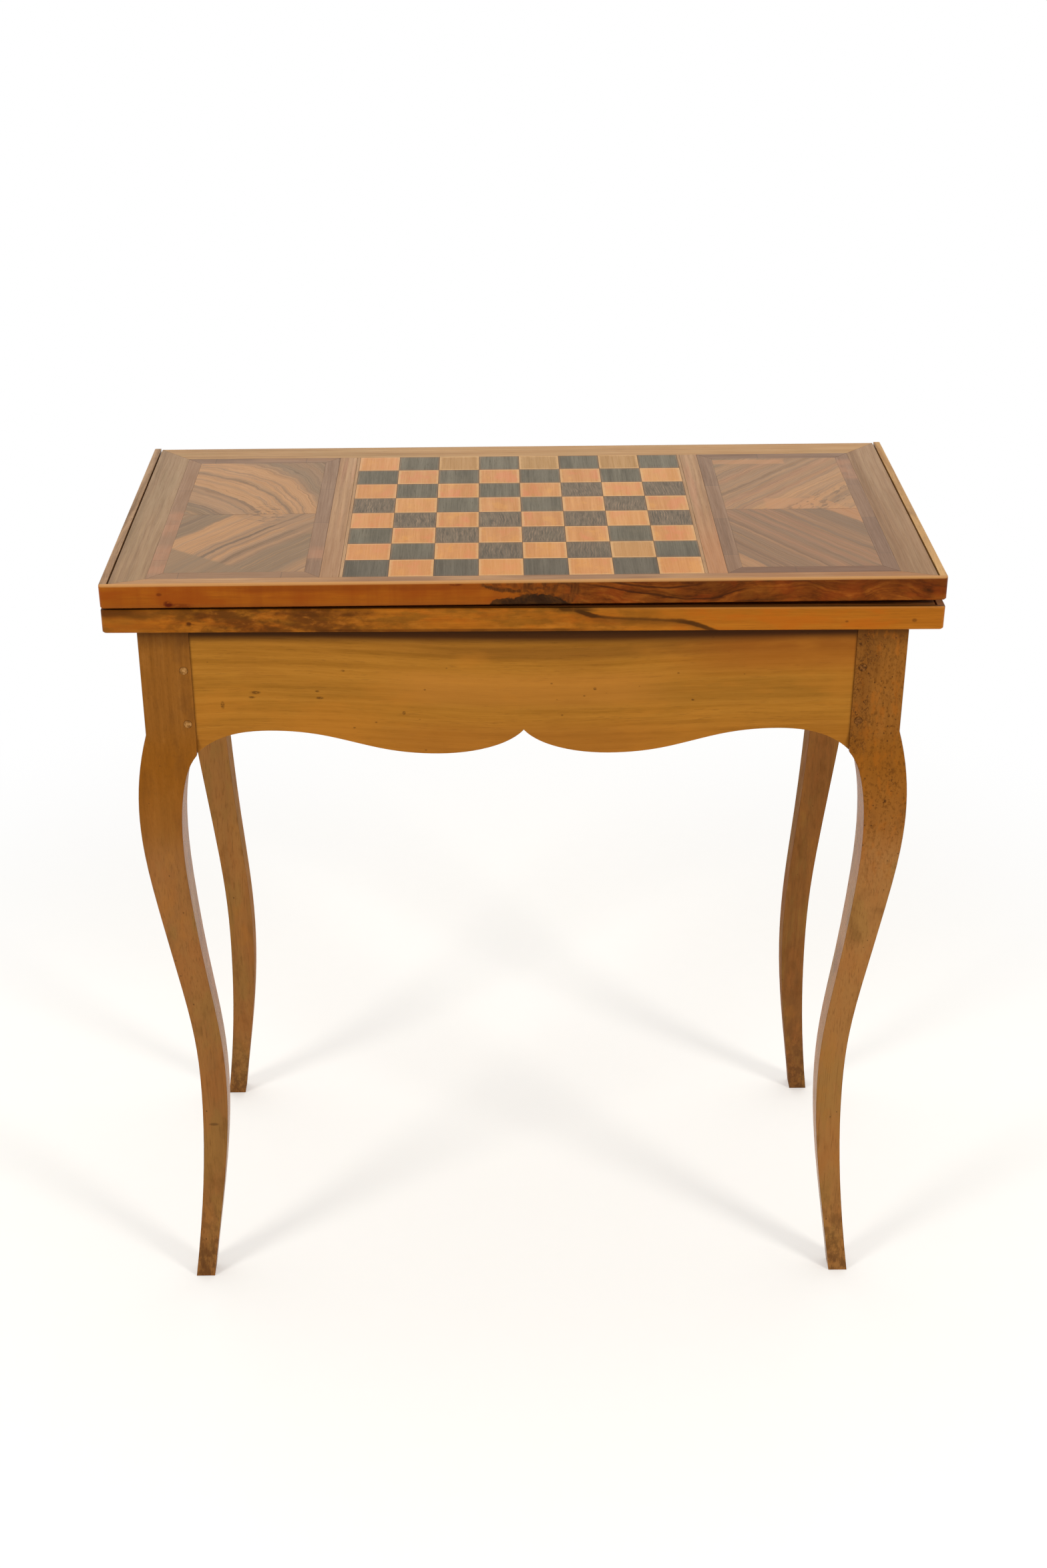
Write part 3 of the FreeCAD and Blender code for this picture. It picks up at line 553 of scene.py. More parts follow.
def leaf_walnut(name, along, seed, tones=LEAF_TONES, gloss=0.06):
    f = Finish(name)
    run, over = f.ways(along)
    f.wood(run, over, f.z, tones, seed=seed, sway=0.007, ring=0.009, rings=0.3, streaks=0.42)
    wear = f.patches(14, 14, 40, 4, 0.6)
    f.tint(wear, 0.5, 0.75, 0.4, (96, 56, 24))
    return f.polish(rough=0.44, gloss=gloss)


dress(leaf_walnut("lower_leaf_walnut", "x", 6.4), "lower_core")
dress(leaf_walnut("lower_strip_walnut", "y", 9.1), "lower_strip_left", "lower_strip_right")


# ---- Front lippings ----
# Each leaf's front edge is covered by a thick strip of its own. The lower one is honey
# coloured, with curled brown figure on its left and one dark streak that runs off its lower
# edge; the upper one goes from plain orange through a black burr to wild, folded figure.
LOWER_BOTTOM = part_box("lower_core")[0].z
LEFT_END, RIGHT_END = (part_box("upper_strip_" + side)[0] for side in ("left", "right"))
UPPER_SLOPE = (RIGHT_END.z - LEFT_END.z) / (RIGHT_END.x - LEFT_END.x)
UPPER_BOTTOM = LEFT_END.z - LEFT_END.x * UPPER_SLOPE
LIPPING_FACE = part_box("lower_lipping")[0].y
LOWER_STREAK = [(0.038, 0.0212), (0.046, 0.0192), (0.056, 0.0152), (0.066, 0.0131), (0.080, 0.0118),
                (0.100, 0.0111), (0.120, 0.0101), (0.138, 0.0084), (0.149, 0.0052), (0.160, 0.0012),
                (0.166, -0.0010)]
BURR_RIM = [(-0.030, -0.0010), (-0.026, 0.0034), (-0.019, 0.0060), (-0.006, 0.0070), (0.004, 0.0088),
            (0.012, 0.0104), (0.020, 0.0080), (0.029, 0.0062), (0.036, 0.0024), (0.042, -0.0020)]
FINGER = [(-0.038, 0.0190), (-0.030, 0.0162), (-0.022, 0.0140), (-0.012, 0.0128), (0.000, 0.0118)]
FOLDS = [(0.030, 0.0190), (0.046, 0.0180), (0.069, 0.0157), (0.082, 0.0124), (0.096, 0.0100), (0.111, 0.0074),
         (0.127, 0.0048), (0.142, 0.0034), (0.158, 0.0044), (0.172, 0.0080), (0.187, 0.0120), (0.212, 0.0152),
         (0.235, 0.0165), (0.258, 0.0100), (0.284, 0.0060), (0.309, 0.0140), (0.334, 0.0070), (0.362, 0.0020)]
TOP_FOLD = [(0.074, 0.0212), (0.082, 0.0190), (0.092, 0.0168), (0.104, 0.0152), (0.120, 0.0146),
            (0.150, 0.0160)]
LOWER_MARKS = [(-0.2750, 0.0158, 0.0060, 0.0028, 0.55), (-0.2856, 0.0085, 0.0020, 0.0015, 0.85),
               (-0.2600, 0.0070, 0.0060, 0.0040, 0.35), (-0.2290, 0.0035, 0.0140, 0.0035, 0.45),
               (-0.1700, 0.0175, 0.0450, 0.0028, 0.40), (0.3340, 0.0088, 0.0020, 0.0016, 0.5),
               (0.2760, 0.0080, 0.0014, 0.0009, 0.5)]
UPPER_KNOTS = [(-0.3090, 0.0126, 0.0022, 0.0013, 0.6), (-0.3020, 0.0040, 0.0034, 0.0024, 0.8),
               (-0.2930, 0.0018, 0.0110, 0.0024, 0.5), (-0.0580, 0.0190, 0.0050, 0.0012, 0.6)]


def course(f, value, points):
    """A smooth line through the points, as the second of each for the first."""
    made = f.node("ShaderNodeFloatCurve", 1.0)
    low, high = points[0][0], points[-1][0]
    base = min(b for _, b in points)
    rise = max(b for _, b in points) - base
    f.feed(made.inputs["Value"], (value - low) / (high - low))
    line = made.mapping.curves[0].points
    while len(line) < len(points):
        line.new(0.5, 0.5)
    for dot, (a, b) in zip(line, points):
        dot.location = ((a - low) / (high - low), (b - base) / rise)
    made.mapping.update()
    return f.result(made) * rise + base


def spots(f, height, marks, start=0.0):
    """Oval marks, each given by its place, its half sizes and its strength."""
    shares = start
    for place, up, half, high, share in marks:
        shares = shares + f.spot(f.x, height, (place, up), (half, high)) * share
    return shares


def lower_lipping():
    f = Finish("lower_lipping_walnut")
    height = f.z - LOWER_BOTTOM
    stops = [(0.0, 108, 58, 8), (0.3, 146, 84, 16), (0.52, 165, 97, 22), (0.75, 180, 110, 28),
             (1.0, 196, 130, 44)]
    f.wood(f.x, f.z, f.y, stops, seed=4.4, sway=0.0022, ring=0.005, rings=0.06, streaks=0.16, pores=0.16)
    leftward = f.span(f.x, 0.16, 0.06)
    warm = f.cloud(f.x * 16, height * 60, 3.0, 4, 0.6)
    f.tint(warm, 0.47, 0.64, 0.5, (174, 88, 14))
    olive = f.cloud(f.x * 24, height * 75, 8.0, 4, 0.62)
    f.stain(leftward * f.span(olive, 0.45, 0.60, 0.0, 0.7), (128, 80, 18))
    pale = f.cloud(f.x * 30, height * 95, 11.0, 4, 0.62)
    f.stain(leftward * f.span(pale, 0.52, 0.66, 0.0, 0.5), (180, 112, 34))
    brown = f.cloud(f.x * 30, height * 75, 5.0, 3, 0.55)
    hazy = f.cloud(f.x * 85, height * 170, 6.0, 4, 0.62)
    figured = f.near(f.x, -0.215, 0.042, 0.08) * 0.62 + leftward * 0.14
    f.stain(f.near(f.x, -0.218, 0.035, 0.05) * 0.25, (110, 60, 12))
    f.stain(figured * f.span(brown, 0.40, 0.60), (84, 42, 8))
    f.stain(figured * f.span(hazy, 0.44, 0.64), (92, 52, 10))
    f.stain(figured * f.span(hazy, 0.46, 0.32) * 0.6, (176, 106, 34))
    f.tint(f.x, -0.30, -0.345, 0.3, (124, 74, 22))
    corner = f.span(f.x, -0.285, -0.345) * f.span(height + (brown - 0.5) * 0.01, 0.010, 0.018)
    marks = spots(f, height, LOWER_MARKS, corner * 0.75)
    below = f.near(height, 0.0016, 0.0004, 0.0014) * f.near(f.x, -0.06, 0.09, 0.05) * 0.6
    f.stain(f.least(marks + below, 0.9), (72, 34, 6))
    line = course(f, f.x, LOWER_STREAK)
    ragged = f.cloud(f.x * 90, height * 240, 2.0, 3, 0.6)
    off = height + (ragged - 0.5) * 0.0024 - line
    thick = 0.0002 + f.span(f.x, 0.066, 0.054, 0.0, 0.0014) + f.near(f.x, 0.146, 0.008, 0.02) * 0.0010
    within = f.span(f.x, 0.036, 0.046) * f.span(f.x, 0.170, 0.164)
    core = f.span(abs(off), thick, thick + 0.0018, 1.0, 0.0)
    strong = f.span(f.x, 0.060, 0.072, 0.84, 0.5) + f.span(f.x, 0.120, 0.142, 0.0, 0.28)
    shade = f.span(off, 0.0030, -0.0002, 0.0, 0.6) * f.span(off, -0.0080, -0.0010)
    shade = shade * f.near(f.x, 0.105, 0.04, 0.04)
    # A dark patch at the top edge by the seam, where the streak starts: painted shadow.
    seam_shade = f.span(height, 0.0165, 0.0200) * f.near(f.x, 0.042, 0.010, 0.012)
    seam_shade = seam_shade * f.span(ragged, 0.3, 0.5, 0.3, 0.8)
    f.stain(shade * within, (100, 58, 14))
    f.stain(f.most(core * within * strong, seam_shade), (52, 28, 6))
    # A paler line along the top arris on the right: wear, and a painted highlight.
    rim = f.span(height, 0.0196, 0.0204) * f.span(f.x, 0.0, 0.16) * 0.5
    f.stain(rim, (190, 128, 62))
    # The top face behind the front edge is darkened: painted shade in the gap under the upper leaf.
    behind = f.span(f.y, LIPPING_FACE + 0.0012, LIPPING_FACE + 0.003, 0.0, 0.85)
    f.stain(f.span(height, 0.0196, 0.0202) * behind, (48, 28, 12))
    return f.polish(rough=0.32, gloss=0.05)


def upper_lipping():
    f = Finish("upper_lipping_walnut")
    height = f.z - UPPER_BOTTOM - f.x * UPPER_SLOPE
    stops = [(0.0, 104, 50, 6), (0.3, 138, 72, 10), (0.52, 154, 82, 14), (0.75, 166, 94, 20),
             (1.0, 190, 118, 38)]
    f.wood(f.x, f.z, f.y, stops, seed=7.7, sway=0.0015, ring=0.006, rings=0.05, streaks=0.16, pores=0.15)
    silk = f.cloud(f.x * 80, height * 9, f.y * 30, 3, 0.6)
    f.tint(silk, 0.38, 0.7, 0.45, (130, 62, 12))
    ruddy = f.cloud(f.x * 13, height * 45, 7.0, 3)
    f.tint(ruddy, 0.47, 0.66, 0.6, (138, 62, 8))
    f.stain(f.near(height, 0.0168, 0.0012, 0.003) * f.span(f.x, -0.27, -0.22) * 0.45, (116, 50, 8))
    f.tint(height, 0.0045, 0.0005, 0.4, (130, 72, 28))
    grit = f.cloud(f.x * 160, height * 260, 4.0, 3, 0.6)
    f.stain(spots(f, height, UPPER_KNOTS) * f.span(grit, 0.3, 0.5), (84, 26, 4))
    plain = f.colour
    bend = f.cloud(f.x * 26, height * 70, 6.1, 4, 0.6)
    level = height + (bend - 0.5) * 0.016 - course(f, f.x, FOLDS)
    layers = f.cloud(f.x * 8, level * 260, 0.7, 3, 0.6)
    fine = f.cloud(f.x * 26, level * 900, 3.1, 2, 0.6)
    mottle = f.cloud(f.x * 60, height * 110, 15.0, 3, 0.55, 0.5)
    value = 0.46 + (layers - 0.5) * 1.25 + (fine - 0.5) * 0.3 + (mottle - 0.5)
    f.colour = f.ramp(value, [(0.0, 48, 22, 3), (0.22, 78, 36, 5), (0.42, 104, 50, 8), (0.60, 122, 62, 13),
                              (0.82, 144, 80, 22), (1.0, 166, 100, 40)])
    tinge = f.cloud(f.x * 30, height * 60, 21.0, 3, 0.6)
    f.tint(tinge, 0.50, 0.64, 0.35, (134, 54, 10))
    f.tint(tinge, 0.46, 0.34, 0.3, (98, 58, 12))
    roof = f.span(height + (mottle - 0.5) * 0.012, 0.0115, 0.0165) * f.span(f.x, 0.20, 0.25) * 0.4
    f.stain(roof, (84, 36, 6))
    lifted = height + (bend - 0.5) * 0.006
    upper_off, lower_off = [lifted - course(f, f.x, fold) for fold in (TOP_FOLD, FOLDS)]
    upper_dark = f.near(upper_off, 0.0, 0.0003, 0.0013) * f.near(f.x, 0.112, 0.030, 0.014)
    lower_dark = f.near(lower_off, 0.0, 0.0002, 0.0012) * f.near(f.x, 0.122, 0.055, 0.02)
    shadowy = f.near(f.x, 0.155, 0.014, 0.012) * f.span(height, 0.006, 0.012) * 0.6
    f.stain(f.most(shadowy, upper_dark, lower_dark) * 0.75, (50, 22, 4))
    f.colour = f.blend(f.span(f.x + (bend - 0.5) * 0.06, 0.0, 0.04), plain, f.colour)
    ragged = f.cloud(f.x * 110, height * 140, 9.0, 5, 0.66, 0.8)
    feather = f.cloud(f.x * 420, height * 70, 4.0, 2)
    rough_height = height - ((ragged - 0.5) * 0.009 + (feather - 0.5) * 0.004)
    burr = f.span(course(f, f.x, BURR_RIM) - rough_height, -0.0008, 0.0012)
    burr = burr * f.span(f.x, -0.0305, -0.0285) * f.span(f.x, 0.042, 0.037)
    smoke = f.near(f.x, 0.022, 0.020, 0.018) * f.span(ragged, 0.36, 0.58, 0.2, 0.95) * 0.85
    halo = f.near(f.x, -0.012, 0.014, 0.014) * f.span(height, 0.0135, 0.0165)
    halo = halo * f.span(ragged, 0.40, 0.55) * 0.6
    finger_off = height + (ragged - 0.5) * 0.007 - course(f, f.x, FINGER)
    finger = f.near(f.x, -0.019, 0.014, 0.006) * f.near(finger_off, 0.0, 0.0008, 0.0018) * 0.9
    brown = f.ramp(feather, [(0.3, 58, 30, 8), (0.5, 78, 42, 12), (0.7, 104, 58, 18)])
    f.stain(f.most(smoke, halo, finger), brown)
    soot = f.ramp(ragged, [(0.3, 26, 16, 6), (0.5, 42, 26, 12), (0.68, 72, 42, 14)])
    f.stain(burr * 0.94, soot)
    # Paler along the top arris and the top face: wear, and a painted highlight.
    f.tint(height, 0.0192, 0.0206, 0.85, (192, 140, 84))
    return f.polish(rough=0.3, gloss=0.05)


dress(lower_lipping(), "lower_lipping")
dress(upper_lipping(), "upper_lipping")


# ---- Baize ----
# Green woollen cloth glued into a shallow bed on the facing side of each leaf, so that
# the opened table is covered all over for cards. Felted nap, rubbed thin and faded in the
# middle, with old fold marks and the cut edge tight against the wood.
BAIZE_SIZE = (0.6436, 0.3125)
BAIZE_THICK = 0.0009
BAIZE_STEP = 0.008
BAIZE_THREAD = 0.0011
CUT_EDGE = 0.45
GLUE_WAVE = 0.00012


def green_cloth():
    f = Finish("green_baize")
    nap = f.patches(1300, 1300, 300, 3, 0.7)
    patch = f.haze(11, 13, 2.0, 5, 0.62)
    warp, weft = [f.sine(way * (math.tau / BAIZE_THREAD)) for way in (f.x, f.y)]
    value = 0.5 + (nap - 0.5) * 0.7 + (patch - 0.5) * 0.4 + (warp + weft) * 0.03
    f.colour = f.ramp(value, [(0.1, 24, 54, 34), (0.45, 44, 86, 54), (0.7, 66, 106, 66),
                              (1.0, 104, 128, 84)])
    middle = f.near(f.x, 0.0, 0.08, 0.24) * f.near(f.y, 0.01, 0.03, 0.12) * 0.32
    f.stain(middle * f.span(patch, 0.35, 0.6), (112, 132, 84))
    spilt = f.near(f.x, 0.19, 0.02, 0.03) * f.near(f.y, -0.06, 0.015, 0.03) * f.span(patch, 0.4, 0.6)
    f.stain(spilt * 0.3, (44, 52, 30))
    sway = f.haze(4, 4, 7.0, 2)
    crease = f.near(sway, 0.5, 0.0008, 0.0022) * f.span(patch, 0.42, 0.55) * 0.3
    f.stain(crease, (98, 128, 88))
    f.shader.inputs["Sheen Weight"].default_value = 0.35
    f.shader.inputs["Sheen Roughness"].default_value = 0.5
    f.relief = nap + (warp + weft) * 0.12
    return f.polish(rough=0.95, spread=0.04, bump=0.0005)


def baize(name, node, face_up, body, material):
    """One cloth, laid in its bed, with a little unevenness in the glue under it."""
    low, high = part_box(node)
    centre = (low + high) / 2
    columns, rows = [round(size / BAIZE_STEP) for size in BAIZE_SIZE]
    slope = 0.0 if face_up else UPPER_SLOPE
    bed_face = low.z if face_up else centre.z + (high.z - low.z) / 2 - BAIZE_SIZE[0] / 2 * slope
    away = 1 if face_up else -1
    mesh = bmesh.new()

    def dot(i, j, layer):
        x = centre.x + BAIZE_SIZE[0] * (i / columns - 0.5)
        y = centre.y + BAIZE_SIZE[1] * (j / rows - 0.5)
        thick = BAIZE_THICK * CUT_EDGE
        if 0 < i < columns and 0 < j < rows:
            thick = BAIZE_THICK + GLUE_WAVE * math.sin(x * 61 + 1.3) * math.sin(y * 73 + 0.4)
        return mesh.verts.new((x, y, bed_face + slope * (x - centre.x) + away * layer * thick))

    sheets = [[[dot(i, j, layer) for i in range(columns + 1)] for j in range(rows + 1)] for layer in (0, 1)]
    for grid in sheets:
        for j in range(rows):
            for i in range(columns):
                mesh.faces.new((grid[j][i], grid[j][i + 1], grid[j + 1][i + 1], grid[j + 1][i]))
    under, over = sheets
    border = [(0, i) for i in range(columns)] + [(j, columns) for j in range(rows)]
    border += [(rows, i) for i in range(columns, 0, -1)] + [(j, 0) for j in range(rows, 0, -1)]
    for (a, b), (c, d) in zip(border, border[1:] + border[:1]):
        mesh.faces.new((under[a][b], under[c][d], over[c][d], over[a][b]))
    bmesh.ops.recalc_face_normals(mesh, faces=mesh.faces)
    cloth = placed(name, mesh, True, material)
    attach(cloth, body)
    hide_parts(node)


cloth_finish = green_cloth()
baize("lower_baize_cloth", "lower_baize", True, "lower_leaf", cloth_finish)
baize("upper_baize_cloth", "upper_baize", False, "upper_leaf", cloth_finish)


# ---- Upper leaf ----
# The same board as the lower leaf, under the veneers; only its back edge and the face
# round the baize show. The strips that close its ends are greyish on the left and golden
# on the right, and stand out a little at the back.
GREY_STRIP = [(92, 64, 34), (130, 96, 60), (154, 115, 78), (172, 136, 96), (192, 160, 118)]
GOLD_STRIP = [(120, 78, 30), (162, 114, 56), (182, 136, 74), (200, 152, 88), (216, 172, 110)]
dress(leaf_walnut("upper_leaf_walnut", "x", 11.2), "upper_core")
dress(leaf_walnut("left_strip_walnut", "y", 14.8, GREY_STRIP, 0.45), "upper_strip_left")
dress(leaf_walnut("right_strip_walnut", "y", 16.3, GOLD_STRIP, 0.45), "upper_strip_right")


# ---- Hinges ----
# A pair of cast brass butts at the back edge, each with three knuckles on a filed pin and
# three screws to a plate. Old brass, tarnished brown in patches, with dark wax round the
# screws, and rubbed yellow on the knuckles.
HINGES = {"left": -0.230, "right": 0.230}
HINGE_ARRIS = 0.0003
SCREW_STEPS = (-0.021, 0.0, 0.021)
SCREW_RADIUS = 0.0031
SCREW_DROP = 0.0108
PLATE_FACE = 0.1773
FOLD = next(joint for joint in frame["joints"] if joint["name"] == "leaf_fold")


def old_brass():
    f = Finish("old_brass")
    patina = f.patches(95, 95, 95, 4, 0.55)
    f.colour = f.ramp(patina, [(0.32, 118, 84, 40), (0.5, 160, 120, 58), (0.66, 188, 148, 78),
                               (0.8, 204, 168, 98)])
    tilt = FOLD["axis"][2] / FOLD["axis"][0]
    across = abs(abs(f.x) - HINGES["right"])
    aside = f.least(across, abs(across - SCREW_STEPS[-1]))
    rise = abs(f.z - (f.x * tilt + FOLD["pos_m"][2]))
    off = f.length(aside, rise - SCREW_DROP)
    f.stain(f.near(off, SCREW_RADIUS + 0.0001, 0.0002, 0.0005), (58, 38, 16))
    rubbed = f.span(f.y, 0.179, 0.1812, 0.0, 0.5)
    f.stain(rubbed, (222, 184, 108))
    f.shader.inputs["Metallic"].default_value = 1.0
    fine = f.patches(900, 900, 900, 2)
    f.relief = patina * 0.6 + fine * 0.4
    return f.polish(rough=0.36, spread=0.2, bump=0.0001, gloss=0.5)


brass = old_brass()
for side, across in HINGES.items():
    parts = ["hinge_%s_%s" % (side, part) for part in ("lower", "upper", "pin")]
    dress(brass, *parts)
    for part in parts:
        soften(part, HINGE_ARRIS, 2, 50)
    for plate, drop in (("lower", -SCREW_DROP), ("upper", SCREW_DROP)):
        for number, step in enumerate(SCREW_STEPS, 1):
            level = FOLD["pos_m"][2] + (across + step) * FOLD["axis"][2] / FOLD["axis"][0] + drop
            name = "hinge_screw_%s_%s_%d" % (side, plate, number)
            centre = Vector((across + step, PLATE_FACE, level))
            screw = screw_head(name, centre, SCREW_RADIUS, 0.7 * number + drop * 90, brass)
            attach(screw, plate + "_leaf")


# ---- Veneer bands ----
# Sawn veneers glued round the rim of the top and mitred at the corners: brown walnut
# along the two ends, a lighter strip along the front and a honey one along the back.
def veneer(name, along, stops, seed, ring, rings, streaks, sway=0.002, fibres=0.1, pores=0.12):
    """Finish of one veneer, with its fibres along the table or from front to back."""
    f = Finish(name)
    run, over = f.ways(along)
    f.wood(run, over, f.z, stops, seed, sway, ring, rings, streaks, fibres, pores)
    return f


def spirit_polish(f):
    return f.polish(rough=0.36, gloss=0.5)


def end_band():
    stops = [(82, 54, 26), (112, 78, 44), (132, 95, 56), (148, 112, 70), (168, 134, 92)]
    f = veneer("end_band_walnut", "y", stops, 2.2, ring=0.0055, rings=0.14, streaks=0.34)
    olive = f.haze(60, 5, 3.3, 3)
    f.tint(olive, 0.45, 0.7, 0.4, (116, 90, 50))
    f.tint(f.x, -0.1, 0.1, 0.3, (138, 86, 36))
    return spirit_polish(f)


def back_band():
    stops = [(104, 66, 24), (138, 93, 42), (159, 112, 54), (176, 130, 70), (194, 154, 96)]
    f = veneer("back_band_walnut", "x", stops, 5.9, ring=0.006, rings=0.16, streaks=0.34)
    olive = f.haze(12, 70, 4.4, 3)
    f.tint(olive, 0.45, 0.7, 0.45, (140, 106, 48))
    f.tint(f.x, -0.16, -0.02, 0.35, (188, 136, 72))
    return spirit_polish(f)


def front_band():
    stops = [(0.0, 92, 56, 24), (0.28, 138, 92, 46), (0.55, 164, 114, 64), (0.8, 180, 134, 84),
             (1.0, 200, 158, 112)]
    f = veneer("front_band_walnut", "x", stops, 8.8, ring=0.005, rings=0.16, streaks=0.36)
    dusky = f.haze(9, 60, 6.2, 3)
    central = f.near(f.x, 0.0, 0.13, 0.12) * f.span(dusky, 0.34, 0.56, 0.25, 1.0)
    f.stain(central * 0.75, (120, 74, 34))
    f.tint(f.y, -0.1725, -0.1755, 0.5, (190, 134, 78))
    f.stain(f.span(f.x, 0.12, 0.22) * f.span(dusky, 0.36, 0.56, 0.5, 0.95), (142, 86, 26))
    return spirit_polish(f)


dress(end_band(), "band_left", "band_right")
dress(back_band(), "band_back")
dress(front_band(), "band_front")


# ---- Dark frames ----
# A mitred band of purple-brown wood round each side panel, pieced from short lengths that
# each took the stain and the light in their own way, with paler sapwood in some of them.
FRAME_SIDES = (0.1742, 0.3218)
FRAME_ENDS = (-0.162, 0.1468)
FRAME_PIECE = 0.088
FIRST_PIECE = 0.031
SAPWOOD = [(-0.315, -0.030, 0.022), (-0.181, -0.106, 0.007), (-0.315, -0.118, 0.026), (0.315, 0.1, 0.02)]


def dark_frame():
    f = Finish("dark_frame_wood")
    stops = [(72, 44, 26), (98, 64, 40), (118, 81, 53), (134, 97, 66), (154, 118, 84)]
    ways = []
    for run, over, seed in ((f.y, f.x, 1.1), (f.x, f.y, 3.9)):
        f.wood(run, over, f.z, stops, seed, sway=0.0015, ring=0.004, rings=0.14, streaks=0.32, pores=0.12)
        ways.append((f.colour, f.relief))
    (long_way, relief_long), (cross_way, relief_cross) = ways
    side = abs(f.x)
    to_side = f.least(side - FRAME_SIDES[0], FRAME_SIDES[1] - side)
    to_end = f.least(f.y - FRAME_ENDS[0], FRAME_ENDS[1] - f.y)
    is_cross = f.span(to_end - to_side, 0.0002, -0.0002)
    mitre = f.near(to_end - to_side, 0.0, 0.0001, 0.0004)
    f.colour = f.blend(is_cross, long_way, cross_way)
    f.relief = relief_long * (1.0 - is_cross) + relief_cross * is_cross
    along_y, along_x = [(way + FIRST_PIECE) / FRAME_PIECE for way in (f.y, f.x)]
    length = along_y * (1.0 - is_cross) + along_x * is_cross
    draws = f.draws(f.calc("FLOOR", length), f.calc("FLOOR", (f.x + 0.5) * 9), is_cross)
    f.stain(draws[0] * 0.55, (146, 104, 70))
    f.stain(draws[1] * 0.5, (98, 62, 44))
    patchy = f.haze(60, 60, 2.2, 3)
    outer_left = f.near(f.x, -0.315, 0.007, 0.002) * (1.0 - is_cross) * 0.45
    f.stain(outer_left, (146, 104, 68))
    front_end = f.span(f.y, -0.140, -0.150) * is_cross
    f.stain(front_end * f.span(f.x, 0.05, -0.05) * 0.4, (150, 106, 62))
    f.stain(front_end * f.span(f.x, -0.05, 0.05) * 0.72, (98, 52, 20))
    back_end = f.span(f.y, 0.134, 0.142) * is_cross * f.near(f.x, -0.215, 0.03, 0.02)
    f.stain(back_end * 0.4, (160, 112, 72))
    for x, y, reach in SAPWOOD:
        pale = f.near(f.x, x, 0.006, 0.004) * f.near(f.y, y, reach, 0.014)
        pale = pale * f.span(patchy, 0.35, 0.6, 0.25, 0.7)
        f.stain(pale * (1.0 - is_cross), (158, 104, 68))
    part = f.calc("FRACT", length)
    butt = f.least(part, 1.0 - part) * FRAME_PIECE
    seams = f.most(mitre * 0.3, f.span(butt, 0.0002, 0.0007, 0.4, 0.0))
    f.stain(seams, (64, 38, 22))
    return spirit_polish(f)


dress(dark_frame(), "frame_left", "frame_right")


# ---- Side panels ----
# Each panel is two slanted veneers that meet along the middle: bold pale sapwood and dark
# lines in the left pair, with a curl where they meet; the right pair is browner and
# straighter, with pale corners. The level of a place is its distance across the figure.
PANEL_OUTER = 0.3084
PANEL_SPLIT = -0.0076
KNOT = (-0.2325, -0.009)
KNOT_RING = 0.0072
PALE, TAN, BROWN, DUSK, LINE = (177, 124, 72), (157, 113, 72), (137, 98, 62), (120, 91, 60), (98, 67, 38)
ROSY, FAINT, SAP = (158, 106, 66), (118, 82, 48), (196, 134, 78)
LEFT_BACK = (0.933, 2.18, -5.46, [
    (0, BROWN), (12, DUSK), (28, DUSK), (31, LINE), (34, LINE), (36.5, BROWN), (48, TAN), (60, TAN),
    (64, BROWN), (70, TAN), (77, FAINT), (78.5, BROWN), (80.5, PALE), (91, PALE), (95, TAN), (99, PALE),
    (108, PALE), (111.5, FAINT), (113.5, FAINT), (116, TAN), (121, PALE), (129, PALE), (131, BROWN),
    (134, PALE), (147, PALE), (151, TAN), (154, BROWN), (162, DUSK), (176, BROWN), (190, DUSK)])
LEFT_FRONT = (1.271, 0.74, 3.06, [
    (0, BROWN), (16, DUSK), (30, LINE), (34, DUSK), (60, DUSK), (64.5, BROWN), (67.5, PALE), (84, PALE),
    (87, TAN), (91, PALE), (126, PALE), (131, TAN), (136, BROWN), (142, TAN), (147.5, BROWN), (149.5, LINE),
    (153, LINE), (156, TAN), (164, TAN), (168, BROWN), (174, PALE), (184, TAN), (190, BROWN), (194, LINE),
    (197.5, LINE), (200, BROWN), (210, TAN), (218, BROWN), (228, DUSK), (300, DUSK), (325, TAN)])
RIGHT_BACK = (1.27, -1.03, -0.66, [
    (0, PALE), (12, TAN), (24, PALE), (38, TAN), (46, BROWN), (54, TAN), (70, PALE), (82, TAN), (96, PALE),
    (108, PALE), (114, TAN), (124, ROSY), (131, BROWN), (135, TAN), (150, ROSY), (160, BROWN), (168, TAN),
    (174.5, FAINT), (176.5, FAINT), (179, TAN), (196, BROWN), (204, ROSY), (216, BROWN), (232, TAN),
    (250, DUSK)])
RIGHT_FRONT = (1.229, 2.15, 1.38, [
    (0, SAP), (34, SAP), (37, DUSK), (64, DUSK), (84, BROWN), (92, TAN), (98, BROWN), (106, DUSK),
    (112, BROWN), (120, ROSY), (130, BROWN), (136, ROSY), (141, BROWN), (144, DUSK), (148, BROWN),
    (158, ROSY), (166, DUSK), (178, BROWN), (190, ROSY), (202, BROWN), (208, FAINT), (211, FAINT),
    (214, TAN), (222, BROWN), (237, DUSK), (240, FAINT), (243, DUSK), (264, BROWN), (274, LINE),
    (278, BROWN), (303, DUSK), (306, PALE)])
FIGURE_REACH = 0.36


